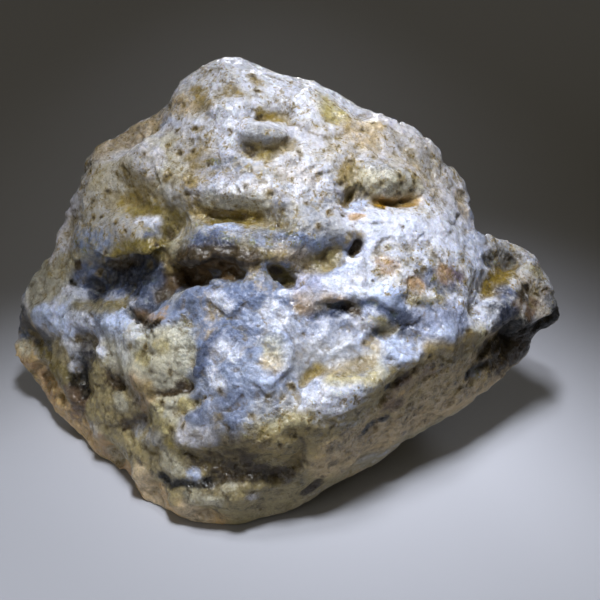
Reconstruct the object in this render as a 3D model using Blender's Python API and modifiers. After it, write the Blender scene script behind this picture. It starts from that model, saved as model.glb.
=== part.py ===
"""A wind-worn lump of chalcedony, standing on a small flat spot: one piece of stone, one solid.

The block is the convex hull of named corners with a horn joined at its right end. Ridges, ledges, hollows
and pits are then pushed in and out of its skin along short strokes, and noise of three sizes roughens it.

Corners and strokes on the front are laid out on a sight board: a plane through SIGHT_CENTRE that leans
back, square to someone who looks down on the stone. A corner is (across, up, near) in mm: to the right, up
the board, and off it towards the eye. A stroke's places are board marks, BOARD_MARK apart, counted right
and down from the board's top left corner; its width and depth are in mm. Hidden corners are x, y, z in mm.
"""

import math
import random

import bmesh
import bpy
import numpy as np
from mathutils import Vector, noise
from mathutils.bvhtree import BVHTree

MM = 0.001
LOOK_DOWN = math.radians(32)
EYE_DISTANCE = 225.0
SIGHT_CENTRE = Vector((0.0, 0.0, 21.5))
RIGHT = Vector((1.0, 0.0, 0.0))
UP = Vector((0.0, math.sin(LOOK_DOWN), math.cos(LOOK_DOWN)))
NEAR = Vector((0.0, -math.cos(LOOK_DOWN), math.sin(LOOK_DOWN)))
BOARD_MARK = 0.15
BOARD_MIDDLE = 300

ROUGH_VOXEL = 0.8
FINE_VOXEL = 0.55
MOST_TRIANGLES = 9400

OUTLINE = (
    (-13.0, 36.3, 1), (-9.0, 36.4, 1), (-5.5, 34.9, 1), (3.7, 32.6, -1), (10.3, 28.2, -2),
    (16.2, 26.3, -2), (20.0, 23.5, -3), (22.8, 18.0, -4), (25.8, 13.0, -4), (26.6, 11.4, -4),
    (-17.7, 33.0, 0), (-21.6, 28.4, -1), (-28.0, 23.4, -3), (-31.2, 23.3, -5), (-32.2, 20.6, -6),
    (-34.0, 14.0, -8), (-36.6, 8.1, -9), (-40.2, 3.0, -11), (-42.2, -2.7, -12),
    (-43.4, -7.9, -15), (-41.9, -10.3, -15), (-36.2, -16.9, -10), (-31.2, -21.8, -5),
    (-25.0, -30.0, 3), (-23.0, -31.5, 4), (-18.7, -32.9, 7), (-15.2, -34.5, 10), (-9.7, -34.0, 11),
    (0.0, -31.3, 9), (6.0, -27.9, 7), (16.8, -20.3, 4), (27.0, -15.0, -1), (32.0, -11.0, -4),
)
FRONT = (
    (-17.2, -20.7, 17), (-7.5, -20.4, 21), (0.0, -18.6, 21), (6.7, -16.2, 20), (15.0, -10.5, 17),
    (22.5, -5.5, 13.5), (28.0, -4.5, 7),
    (-7.5, -25.5, 19), (-15.0, -27.0, 16), (-10.5, -31.5, 15), (3.0, -25.5, 15),
    (-37.8, -7.8, -7), (-33.0, -14.2, -1), (-28.5, -18.7, 4), (-22.5, -24.7, 11), (-18.3, -28.2, 14),
    (-10.5, 32.2, 6), (-10.5, 28.5, 9), (1.5, 30.0, 5), (0.0, 22.5, 11), (15.0, 20.2, 7),
    (10.5, 10.5, 13), (19.5, 10.5, 8), (25.5, 4.5, 7), (-25.5, 20.2, 4), (-18.0, 16.5, 9),
    (-30.0, 13.5, -1), (-36.0, 1.5, -5),
)
BACK = (
    (-30, 25, 9), (-12, 31, 8), (10, 30, 9), (22, 22, 11), (-28, 28, 18), (0, 34, 22),
    (20, 27, 20), (-14, 27, 40), (4, 26, 38), (-20, 24, 34),
    (-25, 8, 3), (-8, 22, 3), (12, 15, 3), (14, 2, 3),
)
FLAT_SPOT = ((-12, -24, -1.5), (-17, 2, -1.5), (-9, 13, -1.5), (4, 11, -1.5), (5, -4, -1.5))
HORN = (
    (24.0, 11.4, 2), (26.4, 11.2, -3), (29.2, 9.9, -3), (30.2, 8.6, -4), (33.2, 8.4, -6), (34.6, 7.2, -6),
    (36.8, 4.2, -7), (38.6, 2.0, -8), (39.2, 0.4, -8), (38.7, -3.2, -8), (35.2, -6.0, -6), (33.4, -8.8, -5),
    (30.0, 3.0, 4), (24.0, 0.0, 8), (30.7, -3.3, 5), (37.5, -1.8, -4), (20.0, 4.0, 2), (33.0, 3.0, -14),
    (24.0, 6.0, -16), (32.2, -10.8, -5),
)

# Each stroke: name, half width, push out (in, if negative), slide right, slide up the board, its places.
FORMS = (
    ("top ridge", 5.0, 0.7, 0.0, 0.0, (185, 98), (212, 80), (250, 82), (300, 94), (335, 108)),
    ("left shoulder", 6.0, 1.2, 0.0, 0.0, (104, 165), (140, 155), (100, 182)),
    ("valley under the shoulder", 4.2, -2.6, 0.0, 0.4, (112, 192), (132, 202), (158, 214), (176, 226)),
    ("valley end", 3.0, -2.6, 0.0, 0.0, (166, 226), (171, 237)),
    ("cream panel", 6.0, 1.0, 0.0, 0.0, (92, 240), (120, 234), (148, 232)),
    ("slate hollow", 5.4, -3.2, 0.0, 1.0, (98, 288), (122, 286), (150, 284), (166, 276)),
    ("hollow sill", 3.8, 1.2, 0.0, 0.0, (45, 318), (78, 318), (112, 318), (138, 330), (165, 332)),
    ("upper ridge", 4.2, 1.7, 0.0, 0.0, (198, 198), (230, 193), (262, 196), (290, 204)),
    ("groove under the upper ridge", 3.4, -2.8, 0.0, 1.0, (196, 214), (222, 219), (252, 221), (276, 228)),
    ("middle ridge", 4.4, 1.7, 0.0, 0.0, (184, 244), (215, 240), (250, 242), (290, 240), (330, 236)),
    ("shelf", 4.2, 1.0, 0.0, 0.0, (190, 302), (228, 292), (258, 286)),
    ("groove down to the hole", 3.0, -2.2, 0.0, 0.4, (338, 252), (320, 262), (300, 271), (284, 274)),
    ("right dome", 4.0, 1.1, 0.0, 0.0, (370, 180), (390, 180), (412, 184)),
    ("right hollows", 3.4, -2.2, 0.0, 0.6, (352, 202), (378, 202), (396, 203), (412, 202)),
    ("right bulge", 8.0, 1.2, 0.0, 0.0, (400, 228), (432, 236), (450, 252), (404, 266)),
    ("horn groove", 3.4, -2.2, 0.0, 0.0, (512, 258), (500, 278), (486, 292), (478, 306)),
    ("horn lump", 4.4, 1.0, 0.0, 0.0, (524, 262), (540, 288)),
    ("scoop", 4.8, -1.8, 0.0, 0.0, (306, 344), (326, 334), (348, 324)),
    ("arc ridge", 2.8, 1.2, 0.0, 0.0, (280, 334), (291, 350), (288, 368), (268, 386)),
    ("olive groove", 2.8, -1.6, 0.0, 0.0, (300, 386), (312, 372), (332, 364), (366, 360)),
    ("white lump", 4.6, 1.3, 0.0, 0.0, (318, 398), (340, 392), (362, 384)),
    ("slate groove", 3.0, -1.7, 0.0, 0.4, (368, 334), (396, 332), (420, 336)),
    ("crystal mass", 6.0, 1.0, 0.0, 0.0, (214, 350), (240, 360), (226, 392)),
    ("dark vein", 3.2, -1.6, 0.0, 0.0, (86, 340), (80, 364), (80, 392)),
    ("cream mass", 5.0, 1.0, 0.0, 0.0, (130, 358), (150, 384), (162, 350)),
    ("striated band", 3.4, -1.8, 0.0, 0.0, (190, 464), (232, 460), (282, 470)),
    ("foot", 3.6, 0.8, 0.0, 0.0, (196, 502), (226, 498)),
    ("left seam", 2.6, -1.5, 0.0, 0.0, (112, 374), (122, 386), (140, 404), (142, 420), (118, 424)),
    ("underside of the horn", 4.0, -1.4, 0.0, 0.0, (486, 352), (526, 332)),
    ("notch on the left skyline", 5.0, 0.0, 1.8, -2.6, (122, 136), (138, 124), (152, 112)),
    ("waist of the left edge", 3.6, 0.0, 1.3, 1.5, (106, 456), (126, 474)),
    ("rim above its second corner", 3.4, 0.0, 1.7, 1.5, (38, 376), (50, 392)),
    ("notch under the nose", 2.0, -0.8, 1.1, 0.0, (24, 334), (34, 340)),
    ("rim tip", 2.6, 0.0, -2.6, -0.4, (22, 352), (24, 354)),
    ("right shoulder corner", 3.2, 0.0, -1.5, -0.3, (456, 176), (461, 184)),
    ("saddle before the horn", 2.6, 0.0, 0.3, 1.0, (480, 234), (492, 240)),
    ("horn crest", 2.6, 0.0, 0.0, 0.9, (514, 248), (522, 250)),
    ("horn tip", 2.8, 0.0, 1.2, 0.0, (552, 298), (552, 316)),
    ("lower left corner", 2.6, 0.0, -0.7, -0.6, (150, 498), (154, 500)),
    ("lower right edge", 3.6, 0.0, -0.4, 1.3, (360, 464), (376, 454)),
    ("upper edge of the left side", 3.0, 0.0, 1.2, -0.3, (66, 220), (64, 230)),
    ("outer edge of the left side", 3.0, 0.0, -1.2, 0.0, (26, 296), (28, 304)),
    ("notch on the skyline", 3.6, 0.0, -0.6, -1.6, (350, 104), (360, 108)),
    ("crown", 5.0, 0.0, 0.0, 0.9, (204, 76), (236, 70)),
    ("right brow", 4.4, 1.0, 0.0, 0.4, (388, 128), (412, 138), (430, 154)),
    ("corner by the horn", 3.0, 1.2, 0.0, 0.0, (466, 212), (474, 226)),
)
RELIEF = (
    ("main cavity", 2.6, -6.5, 0.0, 1.4, (180, 277), (196, 276), (208, 269), (222, 265), (232, 271)),
    ("cavity roof", 1.8, 1.0, 0.0, -0.8, (176, 258), (205, 254), (236, 258), (262, 254)),
    ("cavity floor lump", 1.6, 1.2, 0.0, 0.0, (214, 277), (218, 275)),
    ("panel ledge", 1.6, 0.9, 0.0, -0.6, (96, 254), (122, 256), (142, 250), (160, 252)),
    ("panel undercut", 1.7, -2.4, 0.0, 1.0, (98, 261), (122, 266), (146, 260), (163, 260)),
    ("slate hollow left", 1.9, -2.2, 0.0, 0.0, (92, 284), (100, 292)),
    ("slate hollow right", 1.6, -2.0, 0.0, 0.0, (130, 312), (137, 316), (160, 298), (166, 292)),
    ("slate boss", 2.4, 1.2, 0.0, 0.0, (146, 302), (150, 296)),
    ("top groove", 1.7, -2.4, 0.0, 0.6, (255, 116), (270, 119), (290, 116)),
    ("top brow", 2.0, 1.0, 0.0, 0.0, (208, 106), (228, 108), (250, 106)),
    ("nodule", 2.6, 1.7, 0.0, 0.0, (250, 134), (266, 134), (278, 138)),
    ("nodule undercut", 1.5, -1.8, 0.0, 0.4, (247, 150), (262, 156), (280, 152), (290, 144)),
    ("shoulder pit", 1.4, -1.8, 0.0, 0.0, (125, 169), (133, 176)),
    ("upper groove depth", 1.7, -2.4, 0.0, 0.8, (210, 216), (236, 219), (258, 219)),
    ("valley depth", 1.8, -1.6, 0.0, 0.4, (134, 203), (156, 213)),
    ("valley end depth", 1.6, -2.6, 0.0, 0.0, (168, 230), (171, 238)),
    ("hole", 1.7, -3.4, 0.0, 0.0, (276, 270), (286, 276), (293, 285)),
    ("hole sill", 1.2, 0.8, 0.0, 0.0, (284, 292), (293, 294), (299, 288)),
    ("small hole", 1.2, -3.6, 0.0, 0.0, (358, 242), (354, 252)),
    ("small hole sill", 1.0, 0.7, 0.0, 0.0, (350, 259), (358, 259)),
    ("slate hole", 1.6, -2.6, 0.0, 0.3, (326, 308), (340, 306), (352, 306)),
    ("slate hole brow", 1.4, 0.9, 0.0, -0.4, (322, 298), (340, 296), (354, 299)),
    ("left right-hand hollow", 1.5, -2.6, 0.0, 0.0, (358, 190), (350, 203)),
    ("right right-hand hollow", 1.5, -2.6, 0.0, 0.5, (384, 203), (396, 205), (408, 201)),
    ("shoulder hollow", 1.9, -1.4, 0.0, 0.0, (352, 166), (358, 182)),
    ("olive groove depth", 1.5, -1.2, 0.0, 0.0, (304, 384), (312, 373)),
    ("slate groove depth", 1.5, -1.6, 0.0, 0.3, (378, 332), (388, 334)),
    ("chip face", 3.2, 0.7, 0.0, 0.0, (382, 296), (388, 300)),
    ("chip edge", 1.2, -0.9, 0.0, 0.0, (356, 300), (374, 303), (392, 313)),
    ("dark vein depth", 1.6, -1.8, 0.0, 0.0, (80, 372), (82, 394)),
    ("panel pit", 1.0, -1.4, 0.0, 0.0, (72, 282), (75, 284)),
    ("white bead", 1.2, 1.0, 0.0, 0.0, (99, 350), (102, 352)),
    ("lower seam", 1.3, -1.4, 0.0, 0.0, (162, 474), (174, 488), (190, 482), (214, 480), (240, 478)),
    ("band depth", 1.4, -1.4, 0.0, 0.0, (200, 462), (236, 456), (232, 476), (276, 474)),
    ("lip notch", 1.3, -1.3, 0.0, 0.0, (296, 436), (303, 448), (300, 466)),
    ("seam pit", 1.4, -1.6, 0.0, 0.0, (118, 380), (122, 386)),
    ("seam pit below", 1.3, -1.5, 0.0, 0.0, (128, 424), (145, 420)),
    ("lens pit", 1.3, -1.4, 0.0, 0.0, (466, 374), (480, 368)),
    ("lower crack", 1.1, -1.3, 0.0, 0.0, (363, 432), (372, 424), (386, 416)),
    ("upper crack", 1.1, -1.2, 0.0, 0.0, (384, 402), (398, 382), (406, 374)),
    ("foot pit", 1.3, -1.5, 0.0, 0.0, (306, 490), (318, 482)),
    ("crack", 1.0, -1.2, 0.0, 0.0, (150, 394), (172, 393), (192, 387)),
    ("crack below", 1.0, -1.1, 0.0, 0.0, (196, 400), (186, 408), (172, 414)),
    ("horn pit", 1.5, -1.8, 0.0, 0.0, (512, 260), (508, 266)),
    ("horn nick", 1.3, -1.2, 0.0, 0.0, (492, 260), (484, 264)),
    ("horn shelf", 1.6, 0.9, 0.0, 0.0, (520, 322), (548, 310)),
    ("underside black pits", 1.6, -1.4, 0.0, 0.0, (498, 334), (512, 324), (504, 350)),
    ("moss hollow", 1.6, -1.2, 0.0, 0.0, (540, 322), (552, 315)),
    ("upper knuckle", 2.0, 0.9, 0.0, 0.0, (296, 228), (316, 222)),
    ("pale boss", 2.2, 0.8, 0.0, 0.0, (322, 336), (318, 348)),
    ("bright rib", 1.3, 0.8, 0.0, 0.0, (196, 372), (204, 350), (212, 336)),
    ("slate furrow", 1.3, -0.9, 0.0, 0.0, (192, 352), (190, 370), (182, 386)),
    ("slate furrow right", 1.4, -0.9, 0.0, 0.0, (244, 328), (248, 344)),
)
RIM = ((14, 350), (26, 366), (44, 384), (52, 402), (72, 424), (92, 442), (112, 462), (132, 482), (150, 504),
       (176, 514), (200, 524))
RIM_SCALLOP = 1.1
RIM_REACH = 2.6

# Flutes and pits on the sides that no sight board shows: how many, and their sizes in mm.
FLUTES = 46
PITS = 90
DEEPEST_WEATHERING = 2.6
WEATHER_SEED = 7

GRAIN = ((9.0, 0.45), (4.0, 0.4), (1.9, 0.26))


def seen(across, up, near):
    """The place in mm of a corner given on the sight board. Nearer corners spread less, as to an eye."""
    spread = 1 - near / EYE_DISTANCE
    return SIGHT_CENTRE + (RIGHT * across + UP * up) * spread + NEAR * near


def clear_scene():
    for thing in list(bpy.data.objects):
        bpy.data.objects.remove(thing)


def hull(name, places, collection):
    """The convex hull of these places, as an object."""
    block = bmesh.new()
    for place in places:
        block.verts.new(Vector(place) * MM)
    made = bmesh.ops.convex_hull(block, input=block.verts)
    bmesh.ops.delete(block, geom=list({*made["geom_interior"], *made["geom_unused"]}), context="VERTS")
    mesh = bpy.data.meshes.new(name)
    block.to_mesh(mesh)
    block.free()
    thing = bpy.data.objects.new(name, mesh)
    collection.objects.link(thing)
    return thing


def evaluated(thing):
    """Gives the object the mesh that its modifiers make, and takes the modifiers off."""
    graph = bpy.context.evaluated_depsgraph_get()
    mesh = bpy.data.meshes.new_from_object(thing.evaluated_get(graph))
    thing.modifiers.clear()
    thing.data = mesh


def remesh(thing, voxel, rounding):
    skin = thing.modifiers.new("skin", "REMESH")
    skin.mode = "VOXEL"
    skin.voxel_size = voxel * MM
    smooth = thing.modifiers.new("round", "SMOOTH")
    smooth.factor = 0.5
    smooth.iterations = rounding
    evaluated(thing)


def thin_out(thing, triangles):
    thing.data.calc_loop_triangles()
    fewer = thing.modifiers.new("fewer", "DECIMATE")
    fewer.ratio = triangles / len(thing.data.loop_triangles)
    fewer.use_collapse_triangulate = True
    evaluated(thing)


def skin_of(thing):
    """The corners of an object's mesh and the direction each one faces, in mm."""
    count = len(thing.data.vertices)
    places = np.empty(count * 3)
    facing = np.empty(count * 3)
    thing.data.vertices.foreach_get("co", places)
    thing.data.vertices.foreach_get("normal", facing)
    return places.reshape(-1, 3) / MM, facing.reshape(-1, 3)


def set_skin(thing, places):
    thing.data.vertices.foreach_set("co", (places * MM).ravel())
    thing.data.update()


def touch(tree, start, heading):
    """Where a straight line first meets the stone, and which way the stone faces there."""
    place, facing, _, _ = tree.ray_cast(start, heading)
    return place, facing


def along_board(tree, marks):
    """The places on the stone behind these board marks, with one more between each two."""
    eye = SIGHT_CENTRE + NEAR * EYE_DISTANCE
    fuller = [marks[0]]
    for first, second in zip(marks, marks[1:]):
        fuller.append(((first[0] + second[0]) / 2, (first[1] + second[1]) / 2))
        fuller.append(second)
    found = []
    for right, down in fuller:
        across = (right - BOARD_MIDDLE) * BOARD_MARK
        up = (BOARD_MIDDLE - down) * BOARD_MARK
        aim = SIGHT_CENTRE + RIGHT * across + UP * up
        place, facing = touch(tree, eye, (aim - eye).normalized())
        if place is not None:
            found.append((place, facing))
    return found


def nearness(places, line, reach):
    """1 on the line, falling smoothly to 0 at the reach, for every place."""
    least = np.full(len(places), np.inf)
    for first, second in zip(line, line[1:]):
        span = second - first
        part_way = np.clip((places - first) @ span / max(span @ span, 1e-9), 0, 1)
        gap = np.linalg.norm(places - (first + part_way[:, None] * span), axis=1)
        least = np.minimum(least, gap)
    return np.clip(1 - (least / reach) ** 2, 0, 1) ** 2


def push_stroke(places, moved, found, reach, push, slide, rise):
    """Adds one stroke's push, slide and rise to the moves."""
    line = [np.array(place) for place, _ in found]
    if len(line) == 1:
        line.append(line[0])
    facing = sum((facing for _, facing in found), Vector()).normalized()
    move = np.array(facing * push + RIGHT * slide + UP * rise)
    moved += nearness(places, line, reach)[:, None] * move


def tree_of(thing):
    corners = [corner.co / MM for corner in thing.data.vertices]
    return BVHTree.FromPolygons(corners, [tuple(face.vertices) for face in thing.data.polygons])


def carve_strokes(thing, strokes):
    places, _ = skin_of(thing)
    moved = np.zeros_like(places)
    tree = tree_of(thing)
    for _, reach, push, slide, rise, *marks in strokes:
        found = along_board(tree, marks)
        if found:
            push_stroke(places, moved, found, reach, push, slide, rise)
    set_skin(thing, places + moved)


def scallop_rim(thing):
    """Small bites along the thin left rim."""
    places, _ = skin_of(thing)
    moved = np.zeros_like(places)
    tree = tree_of(thing)
    for index, mark in enumerate(RIM):
        found = along_board(tree, [(mark[0] + 7, mark[1] - 7)])
        if found:
            way = 1 if index % 2 else -1
            push_stroke(places, moved, found, RIM_REACH, RIM_SCALLOP * way, 0.0, 0.0)
    set_skin(thing, places + moved)


def gentle(moved, most):
    """The same moves, with none longer than the most."""
    length = np.linalg.norm(moved, axis=1)
    return moved * np.minimum(1, most / np.maximum(length, 1e-9))[:, None]


def weather_hidden_sides(thing):
    """Flutes and pits on the back, the ends and the underside, where the wind has blown round the stone."""
    chance = random.Random(WEATHER_SEED)
    places, _ = skin_of(thing)
    moved = np.zeros_like(places)
    tree = tree_of(thing)
    middle = Vector((-2.0, 2.0, 24.0))
    for index in range(FLUTES + PITS):
        turn = chance.uniform(-0.15, 1.15) * math.pi
        height = chance.uniform(-0.5, 0.9)
        outward = Vector((math.cos(turn), math.sin(turn), height)).normalized()
        start = middle + outward * 90
        flute = index < FLUTES
        length = chance.uniform(4, 13) if flute else chance.uniform(0, 1.5)
        reach = chance.uniform(2.4, 4.6) if flute else chance.uniform(1.0, 1.9)
        depth = chance.choice((-1.9, -1.4, 1.3)) if flute else chance.uniform(-2.2, -1.0)
        level = Vector((-math.sin(turn), math.cos(turn), chance.uniform(-0.35, 0.35)))
        found = []
        for step in (-0.5, -0.17, 0.17, 0.5):
            place, facing = touch(tree, start + level * length * step, -outward)
            if place is not None and facing.dot(NEAR) < 0.15:
                found.append((place, facing))
        if found:
            push_stroke(places, moved, found, reach, depth, 0.0, 0.0)
    set_skin(thing, places + gentle(moved, DEEPEST_WEATHERING))


def roughen(thing, grain):
    """Rounded lumps of each size in turn, pushed out along the skin."""
    places, facing = skin_of(thing)
    lift = np.zeros(len(places))
    for size, height in grain:
        lift += height * np.array([noise.noise(Vector(place) / size) for place in places])
    set_skin(thing, places + facing * lift[:, None])


def stand_over_origin(thing):
    """Moves the stone so that the middle of its box is at x = y = 0, and gives back the move in mm."""
    places, _ = skin_of(thing)
    middle = (places.min(axis=0) + places.max(axis=0)) / 2
    move = np.array((-middle[0], -middle[1], 0.0))
    set_skin(thing, places + move)
    return move


def cut_flat(thing):
    """Cuts the underside off at the table, z = 0."""
    block = bmesh.new()
    block.from_mesh(thing.data)
    everything = block.verts[:] + block.edges[:] + block.faces[:]
    cut = bmesh.ops.bisect_plane(
        block, geom=everything, dist=1e-6, plane_co=(0, 0, 0), plane_no=(0, 0, 1), clear_inner=True
    )
    rim = [edge for edge in cut["geom_cut"] if isinstance(edge, bmesh.types.BMEdge)]
    bmesh.ops.contextual_create(block, geom=rim)
    bmesh.ops.recalc_face_normals(block, faces=block.faces)
    bmesh.ops.triangulate(block, faces=block.faces)
    block.to_mesh(thing.data)
    block.free()


def stone_material():
    """Pale translucent chalcedony, waxy to the eye."""
    material = bpy.data.materials.new("stone")
    material.use_nodes = True
    shader = material.node_tree.nodes["Principled BSDF"]
    shader.inputs["Base Color"].default_value = (0.42, 0.40, 0.36, 1)
    shader.inputs["Roughness"].default_value = 0.45
    shader.inputs["Metallic"].default_value = 0.0
    return material


def block_out(collection):
    body_places = [seen(*place) for place in OUTLINE + FRONT] + list(BACK + FLAT_SPOT)
    stone = hull("stone", body_places, collection)
    horn = hull("horn", [seen(*place) for place in HORN], collection)
    joined = stone.modifiers.new("horn", "BOOLEAN")
    joined.operation = "UNION"
    joined.object = horn
    evaluated(stone)
    bpy.data.objects.remove(horn)
    return stone


def main():
    clear_scene()
    collection = bpy.data.collections.new("ventifact")
    bpy.context.scene.collection.children.link(collection)
    stone = block_out(collection)
    remesh(stone, ROUGH_VOXEL, 5)
    carve_strokes(stone, FORMS)
    weather_hidden_sides(stone)
    remesh(stone, FINE_VOXEL, 2)
    carve_strokes(stone, RELIEF)
    scallop_rim(stone)
    roughen(stone, GRAIN)
    remesh(stone, FINE_VOXEL, 1)
    thin_out(stone, MOST_TRIANGLES)
    cut_flat(stone)
    stone.data.materials.clear()
    stone.data.materials.append(stone_material())
    return stand_over_origin(stone)


moved_by = main()
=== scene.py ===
"""The dressed ventifact: a close skin of waxy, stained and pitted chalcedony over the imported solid.

Features sit on a sight board, square to someone who looks down on the stone. Board marks are BOARD_MARK
apart, counted right and down from the board's top left corner. Widths, depths and all sizes are in mm.
"""

import math
import random

import bpy
import numpy as np
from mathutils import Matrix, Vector, noise
from mathutils.bvhtree import BVHTree


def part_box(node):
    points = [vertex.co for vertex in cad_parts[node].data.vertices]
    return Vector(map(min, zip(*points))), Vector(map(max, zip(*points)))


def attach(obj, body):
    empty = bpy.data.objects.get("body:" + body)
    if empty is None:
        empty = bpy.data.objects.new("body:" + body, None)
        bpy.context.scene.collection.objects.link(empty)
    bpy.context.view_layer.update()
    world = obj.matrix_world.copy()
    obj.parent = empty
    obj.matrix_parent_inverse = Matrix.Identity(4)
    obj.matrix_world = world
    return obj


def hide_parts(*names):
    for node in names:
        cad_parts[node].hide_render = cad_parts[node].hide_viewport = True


MM = 0.001
LOOK_DOWN = math.radians(32)
EYE_DISTANCE = 225.0
BOARD_MARK = 0.15
BOARD_MIDDLE = 300
BOARD_WIDTH = 600 * BOARD_MARK
SENSOR = 36.0
# The board's centre, from the middle of the underside of the stone's box.
SIGHT_OFFSET = Vector((2.79, -2.68, 21.5))
RIGHT = Vector((1.0, 0.0, 0.0))
UP = Vector((0.0, math.sin(LOOK_DOWN), math.cos(LOOK_DOWN)))
NEAR = Vector((0.0, -math.cos(LOOK_DOWN), math.sin(LOOK_DOWN)))

SKIN_VOXEL = 0.29
MOST_TRIANGLES = 190000
SEED = 11


def ink(red, green, blue):
    """A paint colour from its 0 to 255 screen values, as linear light."""
    return np.array([(value / 255) ** 2.2 for value in (red, green, blue)])


WHITE = ink(228, 231, 244)
PALE = ink(206, 205, 212)
BLUE_WHITE = ink(184, 196, 224)
LAVENDER = ink(178, 180, 204)
GREY = ink(166, 167, 170)
CREAM = ink(196, 192, 172)
YELLOW = ink(182, 171, 126)
OCHRE = ink(148, 131, 88)
GOLD = ink(158, 138, 68)
OLIVE = ink(120, 108, 60)
ORANGE = ink(176, 146, 112)
TAN = ink(198, 179, 146)
HONEY = ink(204, 174, 126)
RUST = ink(128, 106, 86)
BROWN = ink(152, 140, 104)
PINK_BROWN = ink(194, 172, 132)
UMBER = ink(66, 55, 40)
STEEL = ink(130, 144, 174)
SLATE = ink(88, 98, 124)
DARK_SLATE = ink(52, 57, 72)
BLACK = ink(24, 23, 22)

# The material's own stains, and the painted shade of its creases, as linear light with an alpha of 1.
CHALK = (0.80, 0.83, 0.93, 1)
OCHRE_STAIN = (0.36, 0.29, 0.12, 1)
UMBER_STAIN = (0.055, 0.045, 0.028, 1)
GILT = (0.34, 0.25, 0.075, 1)
SPECK = (0.05, 0.034, 0.014, 1)
HAIRLINE = (0.07, 0.05, 0.025, 1)
# Painted shade that darkens the creases.
CREASE_SHADE = (0.16, 0.115, 0.05, 1)
# What the painted glints multiply the colour by, from painted shade in their dull hollows to painted
# highlights on their bright ridges: where, and how much.
PAINTED_GLINT_TONES = ((0.06, (0.4, 0.44, 0.53)), (0.26, (0.66, 0.71, 0.8)),
              (0.46, (0.91, 0.94, 1.01)), (0.72, (1.12, 1.15, 1.23)))
# Specks: how many cells fit in 1 mm. Halo and core are shares of a cell.
SPECK_CELLS = (0.48, 0.95)
SPECK_HALO = 0.34
SPECK_CORE = 0.17
# The shader's plain numbers, by input.
STONE_NUMBERS = {"IOR": 1.54, "Subsurface Weight": 0.45, "Subsurface Radius": (1.0, 0.85, 0.6),
                 "Subsurface Scale": 0.0014}
FLOOR_PALE = (0.43, 0.445, 0.50, 1)
FLOOR_WIDTH = 4.0
ROOM_GLOW = (1.0, 0.86, 0.56, 1)
ROOM_GLOW_STRENGTH = 0.06

# Where the solid is too sharp or too deep, it is drawn smooth first: name, half width, strength, places.
# In each round a corner goes strength x EASING_PULL of the way to the middle of its neighbours.
EASED = (
    ("upper ridge", 4.6, 0.9, (200, 198), (236, 200), (272, 206)),
    ("upper groove", 4.0, 1.0, (204, 218), (232, 220), (262, 222)),
    ("valley", 4.4, 1.3, (118, 190), (140, 204), (160, 216)),
    ("valley's right edge", 3.4, 0.9, (182, 196), (188, 222), (184, 250)),
    ("shoulder", 5.0, 1.2, (122, 158), (148, 174), (168, 192)),
    ("valley end", 3.2, 1.0, (164, 226), (172, 236), (172, 248)),
    ("shoulder pit", 4.2, 1.7, (108, 160), (124, 170), (138, 184)),
    ("slate hollow", 5.6, 1.0, (100, 272), (126, 278), (150, 276)),
    ("slate rim", 3.6, 0.9, (158, 260), (164, 280), (168, 300)),
    ("main cavity", 3.2, 1.0, (184, 276), (206, 272), (226, 266)),
    ("top groove", 2.2, 0.9, (250, 113), (264, 114), (276, 116)),
    ("nodule", 2.0, 0.7, (244, 146), (256, 155), (274, 156)),
    ("hole", 2.2, 0.7, (274, 270), (292, 282)),
    ("scoop", 3.4, 0.9, (308, 340), (330, 334), (348, 324)),
    ("glaze", 2.6, 0.9, (304, 366), (336, 358), (364, 346)),
    ("slate slot", 2.0, 0.7, (330, 307), (354, 306)),
    ("left furrow", 4.4, 1.0, (102, 366), (118, 388), (134, 404)),
    ("left flank", 5.0, 0.9, (108, 400), (130, 424), (150, 446), (172, 470)),
    ("foot lumps", 3.6, 0.8, (188, 428), (204, 440)),
    ("foot", 3.6, 0.8, (166, 484), (190, 482), (204, 494)),
    ("band", 3.6, 0.9, (186, 470), (220, 466), (262, 462)),
    ("lower crack", 2.4, 1.0, (360, 434), (370, 424), (388, 416)),
    ("lens pit", 2.2, 1.0, (462, 378), (482, 366)),
    ("foot pit", 2.2, 1.0, (302, 492), (320, 480)),
)
EASING_ROUNDS = 140
EASING_PULL = 0.5

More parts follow.
